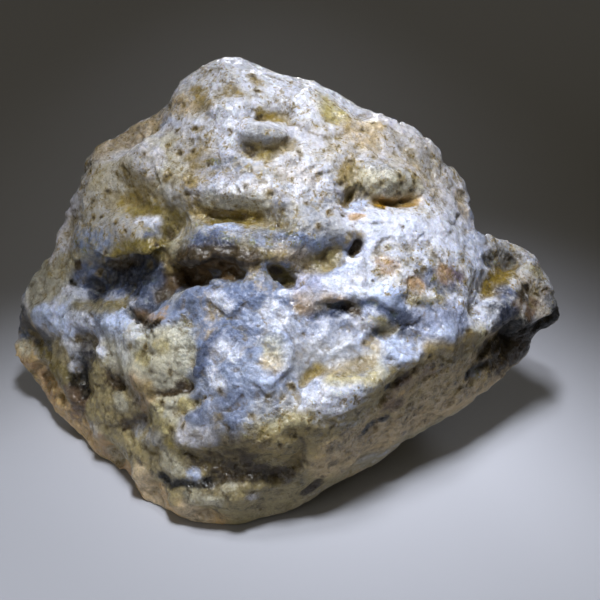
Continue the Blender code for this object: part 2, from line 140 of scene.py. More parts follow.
# Each carving stroke: name, half width, push out (in, if negative), slide up the board, places.
CARVING = (
    ("main cavity", 1.7, -0.45, 0.1, (178, 272), (190, 272), (206, 266), (216, 262), (230, 268)),
    ("main cavity left", 1.5, -0.35, 0.0, (180, 282), (202, 282)),
    ("cavity roof edge", 1.0, 0.15, -0.15, (178, 258), (200, 259), (216, 256), (234, 262), (262, 256)),
    ("cavity floor lump", 1.1, 0.2, 0.0, (214, 275), (220, 273)),
    ("panel ledge lip", 0.9, 0.1, -0.05, (108, 259), (124, 262), (138, 255), (158, 256), (168, 246)),
    ("panel undercut", 0.8, -0.15, 0.05, (112, 263), (126, 266), (142, 259), (158, 259)),
    ("slate black end", 1.5, -0.3, 0.0, (94, 284), (102, 292)),
    ("slate step", 1.0, 0.15, 0.0, (110, 272), (126, 274), (142, 270)),
    ("slate lumps", 1.6, 0.15, 0.0, (152, 272), (160, 280)),
    ("slate boss", 1.8, 0.15, 0.0, (144, 298), (150, 306)),
    ("slate crack", 0.9, -0.25, 0.0, (128, 306), (134, 316), (146, 324), (158, 318)),
    ("slate crack right", 0.9, -0.2, 0.0, (158, 300), (168, 292), (172, 284)),
    ("valley brow", 1.4, 0.15, -0.05, (112, 184), (138, 196), (160, 206)),
    ("panel highlight rib", 1.0, 0.15, 0.0, (138, 221), (156, 220)),
    ("upper ridge edge", 1.0, 0.15, -0.05, (204, 204), (228, 208), (254, 210)),
    ("top groove", 1.3, -0.35, 0.1, (256, 116), (272, 119), (290, 116)),
    ("nodule", 2.2, 0.2, -0.05, (250, 136), (266, 138), (276, 140)),
    ("nodule side grooves", 0.8, -0.2, 0.0, (284, 140), (292, 152)),
    ("top brow", 0.9, 0.15, 0.0, (210, 112), (222, 108), (240, 109), (248, 112)),
    ("shoulder pit", 0.5, -0.35, 0.0, (124, 168), (129, 175)),
    ("inverted v", 0.7, -0.2, 0.0, (190, 143), (195, 138), (199, 143)),
    ("hole left", 1.0, -0.4, 0.0, (272, 268), (280, 271)),
    ("hole right", 1.3, -0.55, 0.0, (288, 278), (294, 284)),
    ("hole sill", 0.8, 0.15, 0.0, (282, 290), (292, 295), (299, 290)),
    ("olive hollow", 1.6, -0.2, 0.0, (332, 256), (318, 264), (306, 270)),
    ("small hole", 1.0, -0.45, 0.0, (357, 242), (353, 252)),
    ("small hole sill", 0.8, 0.15, 0.0, (350, 259), (359, 259)),
    ("slate hole", 1.1, -0.3, 0.1, (332, 307), (344, 306), (354, 306)),
    ("slate hole brow", 0.8, 0.15, -0.1, (334, 299), (348, 298), (356, 302)),
    ("hollow tip", 1.0, -0.35, 0.0, (350, 198), (346, 206)),
    ("hollow", 1.1, -0.35, 0.1, (382, 202), (394, 206), (408, 201)),
    ("dome lower edge", 0.9, 0.15, -0.1, (378, 194), (394, 197), (410, 193)),
    ("pale tooth", 1.4, 0.15, 0.0, (354, 208), (362, 202)),
    ("chip", 1.8, 0.25, 0.0, (376, 292), (388, 298), (390, 306)),
    ("chip lower edge", 0.7, -0.15, 0.0, (366, 301), (382, 307), (396, 314)),
    ("slate furrow", 1.0, -0.25, 0.0, (374, 331), (390, 334)),
    ("slate furrow right", 1.0, -0.2, 0.0, (402, 336), (418, 340)),
    ("arc ridge", 1.0, 0.4, 0.0, (276, 330), (288, 342), (290, 356), (284, 372), (268, 384)),
    ("scoop rib", 0.9, 0.3, 0.0, (322, 356), (340, 352), (356, 342), (366, 334)),
    ("scoop dome", 1.8, 0.15, 0.0, (322, 334), (328, 326)),
    ("olive groove", 1.1, -0.3, 0.0, (304, 384), (312, 374), (320, 369)),
    ("olive ridge", 1.1, 0.15, 0.0, (326, 376), (346, 370), (366, 366), (384, 356)),
    ("white lump ribs", 0.9, 0.15, 0.0, (312, 382), (336, 390), (362, 384)),
    ("white lump edge", 0.9, 0.15, 0.0, (318, 414), (344, 410), (362, 402)),
    ("flake edge", 0.9, 0.15, 0.0, (446, 312), (458, 302), (472, 298), (478, 284)),
    ("flake arc", 0.9, 0.1, 0.0, (412, 300), (428, 303), (442, 300)),
    ("black gap", 0.7, -0.15, 0.0, (420, 304), (430, 304)),
    ("horn nick", 0.9, -0.25, 0.0, (492, 260), (486, 264)),
    ("horn groove top", 1.0, -0.3, 0.0, (511, 260), (506, 267)),
    ("horn knob", 1.6, 0.15, 0.0, (518, 248), (522, 252)),
    ("horn step", 0.8, 0.15, 0.0, (534, 322), (546, 314), (556, 308)),
    ("horn underside step", 1.0, -0.2, 0.0, (540, 322), (552, 315)),
    ("dark vein", 1.3, -0.25, 0.0, (78, 372), (78, 386), (84, 400)),
    ("rim dent one", 1.2, -0.45, 0.0, (34, 372), (38, 368)),
    ("rim dent two", 1.3, -0.45, 0.0, (54, 400), (60, 394)),
    ("rim dent three", 1.4, -0.5, 0.0, (82, 436), (88, 428)),
    ("rim dent four", 1.4, -0.5, 0.0, (114, 468), (122, 458)),
    ("rim dent five", 1.4, -0.5, 0.0, (150, 496), (156, 486)),
    ("rim lump one", 1.3, 0.3, 0.0, (46, 384), (52, 380)),
    ("rim lump two", 1.5, 0.3, 0.0, (70, 416), (76, 408)),
    ("rim lump three", 1.6, 0.35, 0.0, (100, 450), (106, 442)),
    ("rim lump four", 1.6, 0.35, 0.0, (134, 482), (140, 474)),
    ("rim lump five", 1.5, 0.3, 0.0, (170, 506), (176, 498)),
    ("nose ridge", 1.1, 0.15, 0.0, (22, 318), (34, 310), (50, 310)),
    ("nose furrow", 1.0, -0.2, 0.0, (30, 330), (42, 340), (56, 346)),
    ("white bead", 0.8, 0.2, 0.0, (99, 351), (101, 352)),
    ("left arc", 0.9, 0.15, 0.0, (96, 320), (108, 328), (116, 340), (124, 356)),
    ("seam pit", 1.1, -0.3, 0.0, (116, 380), (122, 388)),
    ("seam pit below", 0.9, -0.25, 0.0, (124, 426), (136, 424), (146, 418)),
    ("crack", 0.7, -0.2, 0.0, (150, 394), (170, 394), (182, 390), (190, 388)),
    ("crack right", 0.7, -0.2, 0.0, (196, 402), (192, 408), (184, 412)),
    ("rib one", 0.8, 0.15, 0.0, (206, 340), (202, 356), (196, 372)),
    ("rib two", 0.8, 0.1, 0.0, (240, 372), (246, 382), (252, 392)),
    ("lower white edge", 0.9, 0.15, 0.0, (256, 388), (266, 382), (282, 376)),
    ("band seam", 0.8, -0.25, 0.0, (162, 474), (172, 484), (192, 483), (214, 482), (240, 478)),
    ("band line", 0.8, -0.2, 0.0, (200, 464), (228, 458), (250, 456)),
    ("band line below", 0.8, -0.2, 0.0, (232, 474), (262, 470), (290, 474)),
    ("foot grains", 1.0, 0.15, 0.0, (190, 497), (202, 501), (216, 503)),
    ("foot grain right", 0.9, 0.15, 0.0, (224, 488), (230, 488)),
    ("lens pit", 0.9, -0.25, 0.0, (467, 374), (480, 368)),
    ("lip pits", 0.7, -0.2, 0.0, (386, 386), (398, 383), (406, 376)),
    ("foot pit", 0.9, -0.25, 0.0, (306, 490), (318, 482)),
    ("moss pits", 1.0, -0.25, 0.0, (494, 338), (510, 324), (524, 328)),
)

# Where grain is softer than elsewhere: half width, share taken off (added, if negative), places.
SMOOTH = (
    (5.0, 0.9, (100, 156), (120, 160), (104, 176)),
    (3.6, 0.9, (132, 196), (156, 208)),
    (4.4, 0.9, (60, 276), (70, 296), (84, 268)),
    (3.6, 0.8, (108, 236), (136, 236)),
    (3.8, 0.9, (318, 342), (340, 328)),
    (3.4, 0.9, (302, 366), (336, 358), (366, 346)),
    (3.0, 0.8, (378, 294), (388, 300)),
    (3.0, 0.7, (440, 322), (452, 330)),
    (3.4, 0.8, (120, 356), (136, 370)),
    (2.6, 0.9, (26, 322), (44, 330)),
    (3.2, 0.8, (330, 100), (320, 108)),
    (3.4, 0.7, (120, 450), (136, 480), (160, 500)),
    (8.0, 0.4, (200, 90), (250, 100), (300, 104), (330, 110)),
    (7.0, 0.4, (200, 170), (250, 176), (300, 180)),
    (6.0, 0.5, (100, 200), (90, 236), (130, 240)),
    (6.0, 0.4, (380, 150), (410, 170), (430, 190)),
    (8.0, 0.5, (392, 226), (430, 218), (456, 240), (400, 262)),
    (7.0, 0.3, (220, 330), (270, 310), (300, 350), (240, 380)),
    (5.0, -0.9, (98, 282), (130, 284), (160, 278)),
    (3.0, -0.8, (180, 262), (206, 260), (240, 256)),
)

# Each paint stroke: name, colour, half width, strength, places. Fields lie under details.
FIELDS = (
    ("crown", WHITE, 9.0, 0.8, (196, 84), (240, 76), (300, 94), (336, 106)),
    ("top middle", PALE, 9.0, 0.8, (216, 140), (270, 150), (320, 160)),
    ("top right", PALE, 9.0, 0.9, (376, 132), (420, 150), (444, 186)),
    ("upper band", ink(182, 180, 188), 8.0, 0.8, (210, 176), (270, 180), (330, 200)),
    ("left shoulder", ink(210, 205, 188), 8.0, 0.8, (100, 160), (150, 166), (108, 196)),
    ("left panel", GREY, 8.0, 0.8, (76, 236), (120, 236), (152, 234)),
    ("left edge", PALE, 4.4, 0.7, (60, 244), (74, 210), (88, 170)),
    ("left low panel", ink(164, 160, 142), 6.0, 0.9, (44, 284), (70, 292), (88, 262)),
    ("middle ridges", GREY, 7.0, 0.9, (186, 242), (250, 238), (324, 232)),
    ("slate hollow", SLATE, 5.4, 1.0, (98, 284), (130, 284), (164, 276)),
    ("crystal band", ink(124, 137, 166), 9.0, 0.95, (200, 326), (250, 306), (310, 296), (350, 280)),
    ("right face", ink(202, 205, 220), 9.0, 0.8, (392, 226), (430, 218), (456, 240), (400, 262)),
    ("right middle", WHITE, 7.0, 0.8, (400, 296), (440, 300), (476, 300)),
    ("lower centre", STEEL, 8.0, 0.8, (214, 372), (250, 396), (214, 420)),
    ("centre", ink(150, 162, 188), 7.0, 0.9, (240, 350), (280, 340), (300, 372)),
    ("scoop", ink(136, 144, 166), 6.0, 0.95, (310, 344), (340, 328), (340, 356)),
    ("lower white", WHITE, 5.0, 0.9, (316, 396), (346, 398), (330, 408)),
    ("lower left cream", CREAM, 6.4, 1.0, (124, 342), (150, 372), (168, 352), (158, 406)),
    ("left bottom", BROWN, 8.0, 1.0, (96, 390), (120, 428), (150, 456)),
    ("left bottom edge", BROWN, 4.0, 0.9, (54, 354), (64, 380), (82, 412)),
    ("bottom face", BROWN, 9.0, 1.0, (190, 470), (240, 470), (300, 476), (230, 506)),
    ("bottom face right", PINK_BROWN, 8.0, 1.0, (344, 448), (400, 416), (452, 388), (492, 366)),
    ("lip band", ink(172, 162, 122), 3.4, 0.85, (270, 438), (316, 424), (356, 414), (404, 374),
     (450, 348), (480, 336)),
    ("lip band dark", OCHRE, 2.6, 0.7, (300, 440), (360, 408), (412, 366), (450, 352), (466, 344)),
    ("rim", HONEY, 4.0, 1.0, (20, 352), (40, 380), (62, 408), (96, 444), (130, 480), (170, 512), (206, 522)),
    ("horn", WHITE, 7.0, 0.8, (500, 270), (530, 280), (546, 300)),
    ("horn rust", PINK_BROWN, 3.4, 0.5, (530, 284), (540, 304)),
    ("nose", DARK_SLATE, 3.2, 0.8, (24, 320), (36, 332), (48, 342)),
    # Painted highlight along the top of the dark nose.
    ("nose top highlight", BLUE_WHITE, 2.8, 0.9, (34, 312), (56, 318), (76, 322)),
)
DETAILS = (
    ("left end brow", BLUE_WHITE, 3.0, 0.8, (66, 318), (92, 320), (118, 322)),
    ("left arc", BLUE_WHITE, 1.6, 0.9, (106, 326), (118, 340), (124, 356)),
    ("cream apron", CREAM, 3.2, 0.7, (112, 350), (128, 366), (146, 382)),
    ("left mottle", UMBER, 2.6, 0.55, (84, 336), (98, 342), (90, 354)),
    ("left mottle low", DARK_SLATE, 2.2, 0.5, (78, 362), (92, 360)),
    ("black vein", BLACK, 2.2, 1.0, (79, 370), (78, 384), (83, 400)),
    ("black vein right", BLACK, 1.3, 0.9, (84, 376), (88, 386)),
    ("white bead", WHITE, 0.9, 1.0, (99, 351), (101, 352)),
    ("vein glint", WHITE, 0.9, 0.8, (73, 366), (77, 367)),
    ("seam shade", UMBER, 1.8, 0.9, (112, 378), (122, 386)),
    ("seam orange", ORANGE, 2.0, 0.7, (134, 384), (146, 394), (144, 402)),
    ("seam dark low", UMBER, 1.3, 0.9, (126, 425), (144, 419)),
    ("seam run", OLIVE, 1.7, 0.7, (152, 418), (166, 438), (176, 452)),
    ("left pale spots", CREAM, 1.5, 0.8, (118, 402), (122, 404)),
    ("low pale spots", GREY, 1.5, 0.5, (138, 430), (156, 440)),
    ("rim stain", OLIVE, 2.0, 0.7, (40, 350), (52, 366), (60, 372)),
    ("rim stain low", RUST, 1.4, 0.6, (68, 392), (84, 404), (76, 416)),
    ("rim streak", ORANGE, 1.4, 0.6, (24, 358), (44, 378), (52, 400)),
    ("rim streak low", ORANGE, 1.5, 0.6, (100, 440), (120, 462), (138, 486)),
    ("rim pale", CREAM, 1.5, 0.6, (28, 350), (20, 346)),
    ("rim foot", TAN, 2.0, 0.9, (184, 512), (196, 522)),
    ("low left pale", CREAM, 1.5, 0.7, (116, 450), (122, 458)),
    ("low left orange", TAN, 2.4, 0.8, (140, 476), (156, 496)),
    ("low left tile", CREAM, 2.2, 0.6, (168, 462), (174, 470)),
    ("crack", UMBER, 0.7, 1.0, (150, 394), (170, 394), (182, 390), (192, 388)),
    ("crack above", UMBER, 1.1, 0.9, (180, 385), (190, 389)),
    ("crack right", BLACK, 0.7, 0.9, (196, 401), (192, 406), (185, 411)),
    ("yellow dab", YELLOW, 1.3, 1.0, (182, 406), (190, 407)),
    ("yellow dab left", YELLOW, 1.2, 0.8, (140, 356), (146, 360)),
    ("yellow dab mid", YELLOW, 1.3, 0.7, (158, 346), (164, 346)),
    ("yellow rim low", YELLOW, 1.6, 0.7, (156, 410), (160, 422), (168, 428)),
    ("yellow edge", OCHRE, 1.3, 0.8, (138, 388), (150, 390)),
    ("slate dark", DARK_SLATE, 2.2, 0.9, (96, 286), (100, 296)),
    ("slate brow shade", UMBER, 1.0, 1.0, (110, 262), (124, 266), (142, 258), (160, 259)),
    ("slate brow ochre", OLIVE, 1.8, 0.9, (112, 254), (136, 250), (158, 250)),
    ("slate low edge", OLIVE, 1.8, 0.8, (76, 308), (100, 306), (124, 306)),
    ("slate blue", STEEL, 1.7, 0.4, (140, 300), (150, 298), (152, 284)),
    ("slate blue right", STEEL, 1.6, 0.3, (150, 266), (160, 274)),
    ("slate shade", DARK_SLATE, 1.8, 0.8, (118, 280), (130, 278), (136, 290)),
    ("slate right shade", DARK_SLATE, 2.4, 0.7, (146, 262), (156, 280), (148, 304)),
    ("boss shade", BLACK, 1.1, 0.9, (130, 312), (136, 317)),
    ("boss arch", ORANGE, 1.1, 0.6, (138, 314), (148, 321), (158, 318), (163, 310)),
    ("boss arch dark", BLACK, 0.7, 0.9, (140, 321), (150, 326), (158, 322)),
    ("boss right shade", UMBER, 1.5, 0.9, (162, 296), (168, 290)),
    ("cavity", ink(98, 78, 52), 2.4, 1.0, (180, 276), (196, 274), (210, 266), (222, 263), (230, 269)),
    ("cavity left edge", OCHRE, 1.3, 0.8, (172, 252), (172, 268)),
    ("cavity roof ochre", OCHRE, 1.6, 0.5, (240, 254), (262, 252), (278, 250)),
    ("cavity right stain", OLIVE, 2.0, 0.5, (250, 256), (270, 248), (262, 242)),
    ("cavity rust", RUST, 1.2, 0.7, (236, 262), (250, 261)),
    ("cavity lump", STEEL, 0.9, 0.7, (214, 274), (220, 272)),
    ("ridge pale", BLUE_WHITE, 1.5, 0.8, (214, 228), (226, 226), (240, 230)),
    ("ridge slate", SLATE, 1.8, 0.9, (196, 240), (222, 244), (212, 236)),
    ("ridge slate right", STEEL, 2.2, 0.7, (262, 236), (284, 240), (306, 248)),
    ("ridge cream", CREAM, 1.5, 0.6, (174, 246), (180, 258)),
    ("cavity roof", UMBER, 1.9, 1.0, (180, 258), (198, 258), (214, 254), (234, 257), (250, 258)),
    ("ridge brown", BROWN, 2.2, 0.4, (250, 226), (272, 228), (292, 222)),
    ("ridge tan", TAN, 2.0, 0.6, (286, 256), (300, 258)),
    ("valley", GOLD, 2.2, 0.6, (128, 202), (150, 208), (166, 212)),
    ("valley low", OLIVE, 2.0, 0.8, (140, 210), (160, 218), (176, 220)),
    ("valley end", OLIVE, 1.6, 0.9, (164, 226), (172, 236)),
    ("valley end shade", UMBER, 0.8, 0.8, (168, 232), (173, 238)),
    ("valley corner", OLIVE, 1.8, 0.9, (160, 244), (152, 252)),
    ("shoulder ochre", OCHRE, 1.8, 0.6, (136, 176), (150, 184), (140, 192)),
    ("shoulder pit", BLACK, 0.5, 1.0, (124, 168), (129, 175)),
    ("shoulder pit edge", OCHRE, 0.9, 0.7, (122, 166), (126, 174)),
    ("shoulder pale", PALE, 3.0, 0.7, (112, 152), (136, 146), (150, 162)),
    ("shoulder tan", TAN, 2.6, 0.75, (104, 146), (130, 136), (150, 126)),
    ("left tan", TAN, 2.2, 0.4, (160, 116), (178, 106), (170, 100)),
    ("upper groove", GOLD, 1.9, 0.7, (206, 214), (226, 219), (254, 219)),
    ("upper groove bright", GOLD, 1.3, 0.9, (238, 214), (252, 216)),
    ("upper groove shade", OLIVE, 1.1, 0.7, (214, 220), (236, 222)),
    ("upper groove left", OCHRE, 1.8, 0.8, (196, 208), (206, 210)),
    ("upper ridge", WHITE, 1.8, 0.5, (204, 192), (226, 188), (250, 190), (268, 194)),
    ("upper ridge cream", CREAM, 1.8, 0.7, (210, 202), (240, 202), (262, 204)),
    ("top groove", GOLD, 1.5, 0.8, (258, 117), (274, 120), (290, 117)),
    ("top groove bright", GOLD, 1.0, 0.6, (278, 122), (288, 119)),
    ("top groove end", UMBER, 0.6, 1.0, (255, 119), (263, 120)),
    ("nodule", GREY, 2.2, 0.9, (250, 134), (268, 136), (278, 140)),
    ("nodule low", GOLD, 1.6, 0.8, (252, 150), (266, 154), (278, 148)),
    ("nodule dark", UMBER, 0.9, 1.0, (245, 148), (252, 153)),
    ("nodule base", OCHRE, 1.2, 0.7, (286, 142), (292, 150)),
    # Painted highlight along the top brow.
    ("brow highlight", WHITE, 1.0, 1.0, (210, 112), (222, 108), (240, 109), (250, 112)),
    ("brow ochre", OCHRE, 1.2, 0.7, (198, 100), (208, 106)),
    ("top stain one", OCHRE, 1.2, 0.7, (194, 90), (202, 94)),
    ("top stain two", OCHRE, 1.3, 0.7, (228, 90), (234, 94)),
    ("top stain three", TAN, 1.8, 0.6, (180, 100), (190, 108)),
    ("top stain four", OCHRE, 1.0, 0.7, (250, 76), (256, 82)),
    ("top stain five", OCHRE, 1.4, 0.6, (204, 150), (214, 154), (230, 152)),
    ("top stain six", OCHRE, 1.3, 0.7, (190, 156), (196, 164)),
    ("top stain seven", OCHRE, 1.2, 0.7, (186, 178), (192, 184)),
    ("top stain eight", TAN, 2.0, 0.5, (290, 170), (306, 176)),
    ("yellow patch", ink(176, 164, 110), 2.8, 0.85, (322, 100), (334, 112)),
    # Painted highlights on the upper face.
    ("top highlight", WHITE, 2.8, 0.8, (284, 88), (306, 94), (300, 108)),
    ("top highlight low", WHITE, 2.4, 0.8, (222, 124), (236, 128), (226, 144)),
    ("middle highlight", WHITE, 2.6, 0.4, (286, 164), (310, 176), (300, 190)),
    ("middle slate", STEEL, 2.4, 0.25, (216, 164), (236, 172)),
    ("right stain", OCHRE, 2.4, 0.8, (350, 172), (358, 182), (364, 190)),
    ("right hollow tip", ink(104, 84, 34), 1.5, 1.0, (352, 196), (346, 206)),
    ("right hollow brow", OCHRE, 1.7, 0.9, (352, 188), (360, 192)),
    ("hollow", ink(160, 120, 26), 1.8, 1.0, (380, 201), (396, 204), (410, 201)),
    ("hollow shade", UMBER, 0.7, 0.7, (386, 205), (398, 206)),
    ("hollow orange", OCHRE, 1.2, 0.4, (364, 200), (372, 202)),
    ("dome", CREAM, 2.8, 0.8, (370, 180), (390, 182), (408, 186)),
    ("dome top", GREY, 1.8, 0.5, (376, 164), (400, 168)),
    ("pale tooth", BLUE_WHITE, 1.4, 0.9, (352, 210), (362, 202)),
    ("tooth line", ORANGE, 0.7, 0.8, (352, 217), (362, 216)),
    ("right tan", TAN, 2.4, 0.7, (352, 132), (374, 124), (366, 140)),
    ("right tan low", TAN, 2.2, 0.4, (416, 170), (428, 186)),
    ("right edge tan", TAN, 1.8, 0.5, (458, 200), (464, 214)),
    ("hole", OLIVE, 1.5, 1.0, (274, 270), (286, 275), (294, 284)),
    ("hole dark", UMBER, 0.8, 1.0, (272, 269), (279, 271)),
    ("hole dark low", UMBER, 0.7, 0.9, (288, 286), (294, 288)),
    ("hole sill", WHITE, 0.8, 1.0, (284, 292), (293, 295), (299, 289)),
    ("hole right ochre", YELLOW, 1.2, 0.7, (302, 274), (310, 276)),
    ("olive hollow", BROWN, 2.2, 0.9, (332, 256), (320, 264), (306, 270)),
    ("olive hollow tone", OLIVE, 1.6, 0.5, (328, 258), (316, 266)),
    ("small hole", UMBER, 1.2, 1.0, (358, 241), (356, 248), (352, 254)),
    ("small hole brow", OCHRE, 1.0, 0.7, (348, 238), (358, 234)),
    ("small hole sill", WHITE, 0.8, 1.0, (350, 259), (358, 259)),
    ("violet patch", LAVENDER, 3.0, 0.8, (306, 284), (316, 290)),
    ("slate hole", DARK_SLATE, 1.6, 1.0, (334, 308), (346, 304)),
    ("slate hole left", SLATE, 1.8, 0.9, (314, 312), (330, 306)),
    ("slate hole end", UMBER, 1.2, 1.0, (352, 302), (355, 309)),
    ("slate hole brow", ORANGE, 1.1, 0.5, (326, 297), (344, 297)),
    ("brown above slate", BROWN, 2.0, 0.4, (304, 302), (320, 300)),
    ("orange patch", ORANGE, 1.6, 0.4, (298, 302), (304, 306)),
    ("chip", ink(190, 204, 234), 2.2, 1.0, (374, 292), (388, 298), (392, 307)),
    ("chip left", WHITE, 2.4, 0.7, (352, 284), (362, 290)),
    ("chip shade", SLATE, 0.9, 1.0, (364, 303), (380, 308), (394, 315)),
    ("slate furrow", DARK_SLATE, 1.7, 0.9, (374, 330), (390, 334), (402, 320)),
    ("slate furrow right", DARK_SLATE, 1.6, 0.8, (404, 334), (418, 340)),
    ("slate furrow top", SLATE, 1.8, 0.4, (398, 316), (410, 322)),
    ("furrow ochre", YELLOW, 1.0, 0.9, (372, 322), (382, 322)),
    ("furrow ochre low", YELLOW, 1.1, 0.7, (386, 328), (392, 332)),
    ("furrow white", WHITE, 1.1, 0.9, (362, 323), (370, 325)),
    ("below furrow", BLUE_WHITE, 2.2, 0.8, (392, 344), (412, 350), (400, 354)),
    ("below furrow olive", OCHRE, 1.4, 0.5, (374, 344), (372, 358)),
    ("slate right", SLATE, 2.0, 0.6, (424, 276), (440, 286), (456, 282)),
    ("slate right low", SLATE, 1.8, 0.4, (406, 288), (400, 298)),
    ("orange spot", ORANGE, 1.5, 0.7, (440, 270), (446, 276)),
    ("orange spot left", ORANGE, 1.4, 0.8, (414, 282), (418, 288)),
    ("orange spot top", ORANGE, 1.3, 0.7, (382, 262), (392, 270)),
    ("violet spot", ink(120, 96, 100), 1.5, 0.4, (452, 276), (460, 276)),
    ("flake", WHITE, 1.5, 1.0, (452, 306), (464, 300), (474, 296), (476, 284)),
    ("flake arc", YELLOW, 0.9, 0.8, (412, 301), (428, 303), (440, 301)),
    ("flake gap", BLACK, 0.5, 0.9, (420, 304), (430, 305)),
    ("right slate blue", STEEL, 2.4, 0.3, (470, 240), (478, 252)),
    ("right slate nick", DARK_SLATE, 1.4, 0.8, (484, 262), (492, 262)),
    ("blue glaze", ink(150, 158, 182), 3.4, 0.9, (430, 322), (446, 326), (456, 320)),
    ("blue glaze end", BLUE_WHITE, 1.4, 0.8, (436, 336), (450, 334)),
    ("horn groove", ink(132, 112, 48), 2.0, 0.95, (506, 270), (498, 280), (490, 290)),
    ("horn groove top", UMBER, 1.2, 1.0, (511, 261), (505, 267)),
    ("horn lumps", GREY, 2.0, 0.7, (496, 252), (504, 258)),
    ("horn slate", SLATE, 2.0, 0.7, (504, 292), (512, 302)),
    ("horn dark", UMBER, 1.4, 0.8, (526, 290), (522, 298)),
    ("horn orange", ORANGE, 1.3, 0.4, (518, 306), (524, 309)),
    ("horn rust", RUST, 1.4, 0.7, (534, 304), (530, 314)),
    ("horn rust right", RUST, 1.3, 0.5, (546, 292), (550, 300)),
    ("horn yellow", YELLOW, 1.5, 0.5, (528, 268), (538, 270)),
    ("horn tip pale", GREY, 1.6, 0.8, (550, 302), (556, 296)),
    ("horn low slate", DARK_SLATE, 2.0, 0.8, (500, 310), (514, 316), (500, 326)),
    # Darker under the horn.
    ("dark under horn", BLACK, 2.2, 1.0, (500, 336), (514, 326), (530, 332), (546, 320), (556, 313)),
    ("moss low", BLACK, 3.0, 0.85, (500, 350), (520, 344), (510, 330)),
    ("moss fringe", UMBER, 3.0, 0.7, (484, 352), (500, 362), (520, 350)),
    # Painted highlight along the arc ridge's crest.
    ("arc ridge", BLUE_WHITE, 1.6, 1.0, (278, 332), (290, 346), (290, 358), (284, 372), (270, 382)),
    ("arc inside", CREAM, 2.0, 0.7, (272, 344), (276, 358)),
    ("scoop glow", WHITE, 2.0, 0.35, (318, 338), (324, 330), (320, 350)),
    # Painted highlight along the scoop's rib.
    ("scoop rib", BLUE_WHITE, 0.9, 0.9, (330, 354), (346, 350), (360, 340)),
    ("grey glaze", ink(168, 170, 176), 3.0, 0.9, (300, 360), (320, 360), (348, 356)),
    ("olive groove", GOLD, 1.3, 0.9, (304, 384), (312, 374), (318, 370)),
    ("olive ridge", OCHRE, 1.5, 0.7, (324, 376), (346, 370), (368, 362)),
    ("white lump", WHITE, 2.6, 1.0, (316, 390), (330, 402), (350, 396)),
    ("white lump ochre", YELLOW, 1.4, 0.7, (330, 380), (352, 380), (372, 376)),
    ("lip white left", GREY, 2.2, 0.7, (264, 410), (282, 400)),
    ("lip yellow left", YELLOW, 2.0, 0.3, (250, 432), (270, 430), (290, 424)),
    ("slate rib", SLATE, 1.4, 0.8, (196, 372), (204, 352), (212, 338)),
    ("slate rib right", SLATE, 1.8, 0.5, (222, 332), (244, 336), (246, 346)),
    ("slate rib low", SLATE, 1.7, 0.45, (194, 414), (206, 424), (214, 438)),
    ("slate low", SLATE, 2.0, 0.4, (224, 402), (236, 406), (230, 414)),
    ("crystal one", WHITE, 1.6, 0.8, (220, 350), (232, 354)),
    ("crystal two", WHITE, 1.4, 0.8, (214, 374), (220, 384)),
    ("crystal three", WHITE, 1.7, 0.7, (270, 308), (282, 318), (274, 324)),
    ("crystal four", WHITE, 1.6, 0.7, (216, 298), (224, 306)),
    ("crystal five", WHITE, 1.6, 0.8, (330, 282), (342, 286)),
    ("crystal six", WHITE, 1.6, 0.7, (354, 268), (366, 276)),
    ("crystal low edge", PALE, 1.7, 0.8, (182, 434), (192, 438), (206, 438)),
    ("tan streak", TAN, 1.5, 0.35, (204, 300), (212, 312), (204, 332)),
    ("tan streak right", TAN, 1.5, 0.35, (252, 272), (258, 284)),
    ("tan middle", TAN, 1.6, 0.5, (268, 362), (276, 366)),
    ("olive middle", OCHRE, 1.6, 0.4, (214, 416), (220, 424)),
    ("dark band", UMBER, 2.2, 0.6, (196, 458), (212, 462), (238, 456)),
    ("dark band low", UMBER, 1.7, 0.75, (216, 478), (240, 474), (262, 470), (290, 474)),
    ("dark band top", UMBER, 2.4, 0.5, (236, 440), (252, 442), (250, 456)),
    ("band seam", BLACK, 0.9, 1.0, (162, 474), (172, 483), (192, 483), (212, 484)),
    ("band ochre", OCHRE, 2.4, 0.6, (262, 448), (284, 444), (290, 456)),
    ("bead glint", BLUE_WHITE, 0.9, 0.8, (192, 474), (195, 475)),
    ("foot grains", CREAM, 1.2, 0.6, (188, 497), (204, 500), (218, 502)),
    ("foot grain right", CREAM, 1.0, 0.6, (224, 488), (230, 488)),
    ("foot grain far", PALE, 0.9, 0.7, (252, 497), (254, 498)),
    ("foot ochre", TAN, 1.8, 0.7, (192, 510), (206, 516)),
    ("foot dark", UMBER, 1.2, 0.9, (306, 490), (318, 482)),
    ("upright crack", UMBER, 0.5, 0.6, (302, 438), (304, 452), (302, 468)),
    ("lip pit dabs", BLACK, 0.7, 1.0, (386, 386), (388, 387)),
    ("lip pit dabs mid", BLACK, 0.7, 1.0, (397, 383), (400, 384)),
    ("lip pit dabs right", BLACK, 0.7, 1.0, (404, 377), (407, 375)),
    ("lower crack", BLACK, 0.7, 0.9, (363, 433), (366, 428), (378, 420), (387, 417)),
    ("lower crack top", RUST, 1.2, 0.7, (386, 408), (398, 404)),
    ("lip rust", RUST, 1.8, 0.5, (396, 394), (412, 380), (430, 370)),
    ("lip ochre right", OCHRE, 2.0, 0.8, (432, 350), (452, 352), (470, 342)),
    ("lens pit", BLACK, 0.8, 0.9, (466, 375), (472, 370), (480, 366)),
    ("lens pale", GREY, 0.9, 0.7, (474, 374), (478, 374)),
    # Painted highlight on the nose.
    ("nose highlight", BLUE_WHITE, 1.3, 0.7, (36, 312), (48, 316)),
    ("left end white", WHITE, 1.4, 0.7, (72, 318), (88, 322)),
    ("panel pit", BLACK, 0.8, 1.0, (72, 282), (75, 284)),
    ("panel pit glint", WHITE, 0.9, 0.8, (66, 288), (71, 291)),
    ("panel top pit", UMBER, 0.8, 1.0, (77, 263), (79, 264)),
    # Painted highlight along the panel's rib.
    ("panel rib highlight", WHITE, 1.1, 0.9, (140, 220), (156, 221)),
    ("panel dark", SLATE, 1.4, 0.6, (152, 226), (150, 234)),
    ("panel slate", STEEL, 2.2, 0.6, (78, 240), (104, 242), (96, 252)),
)
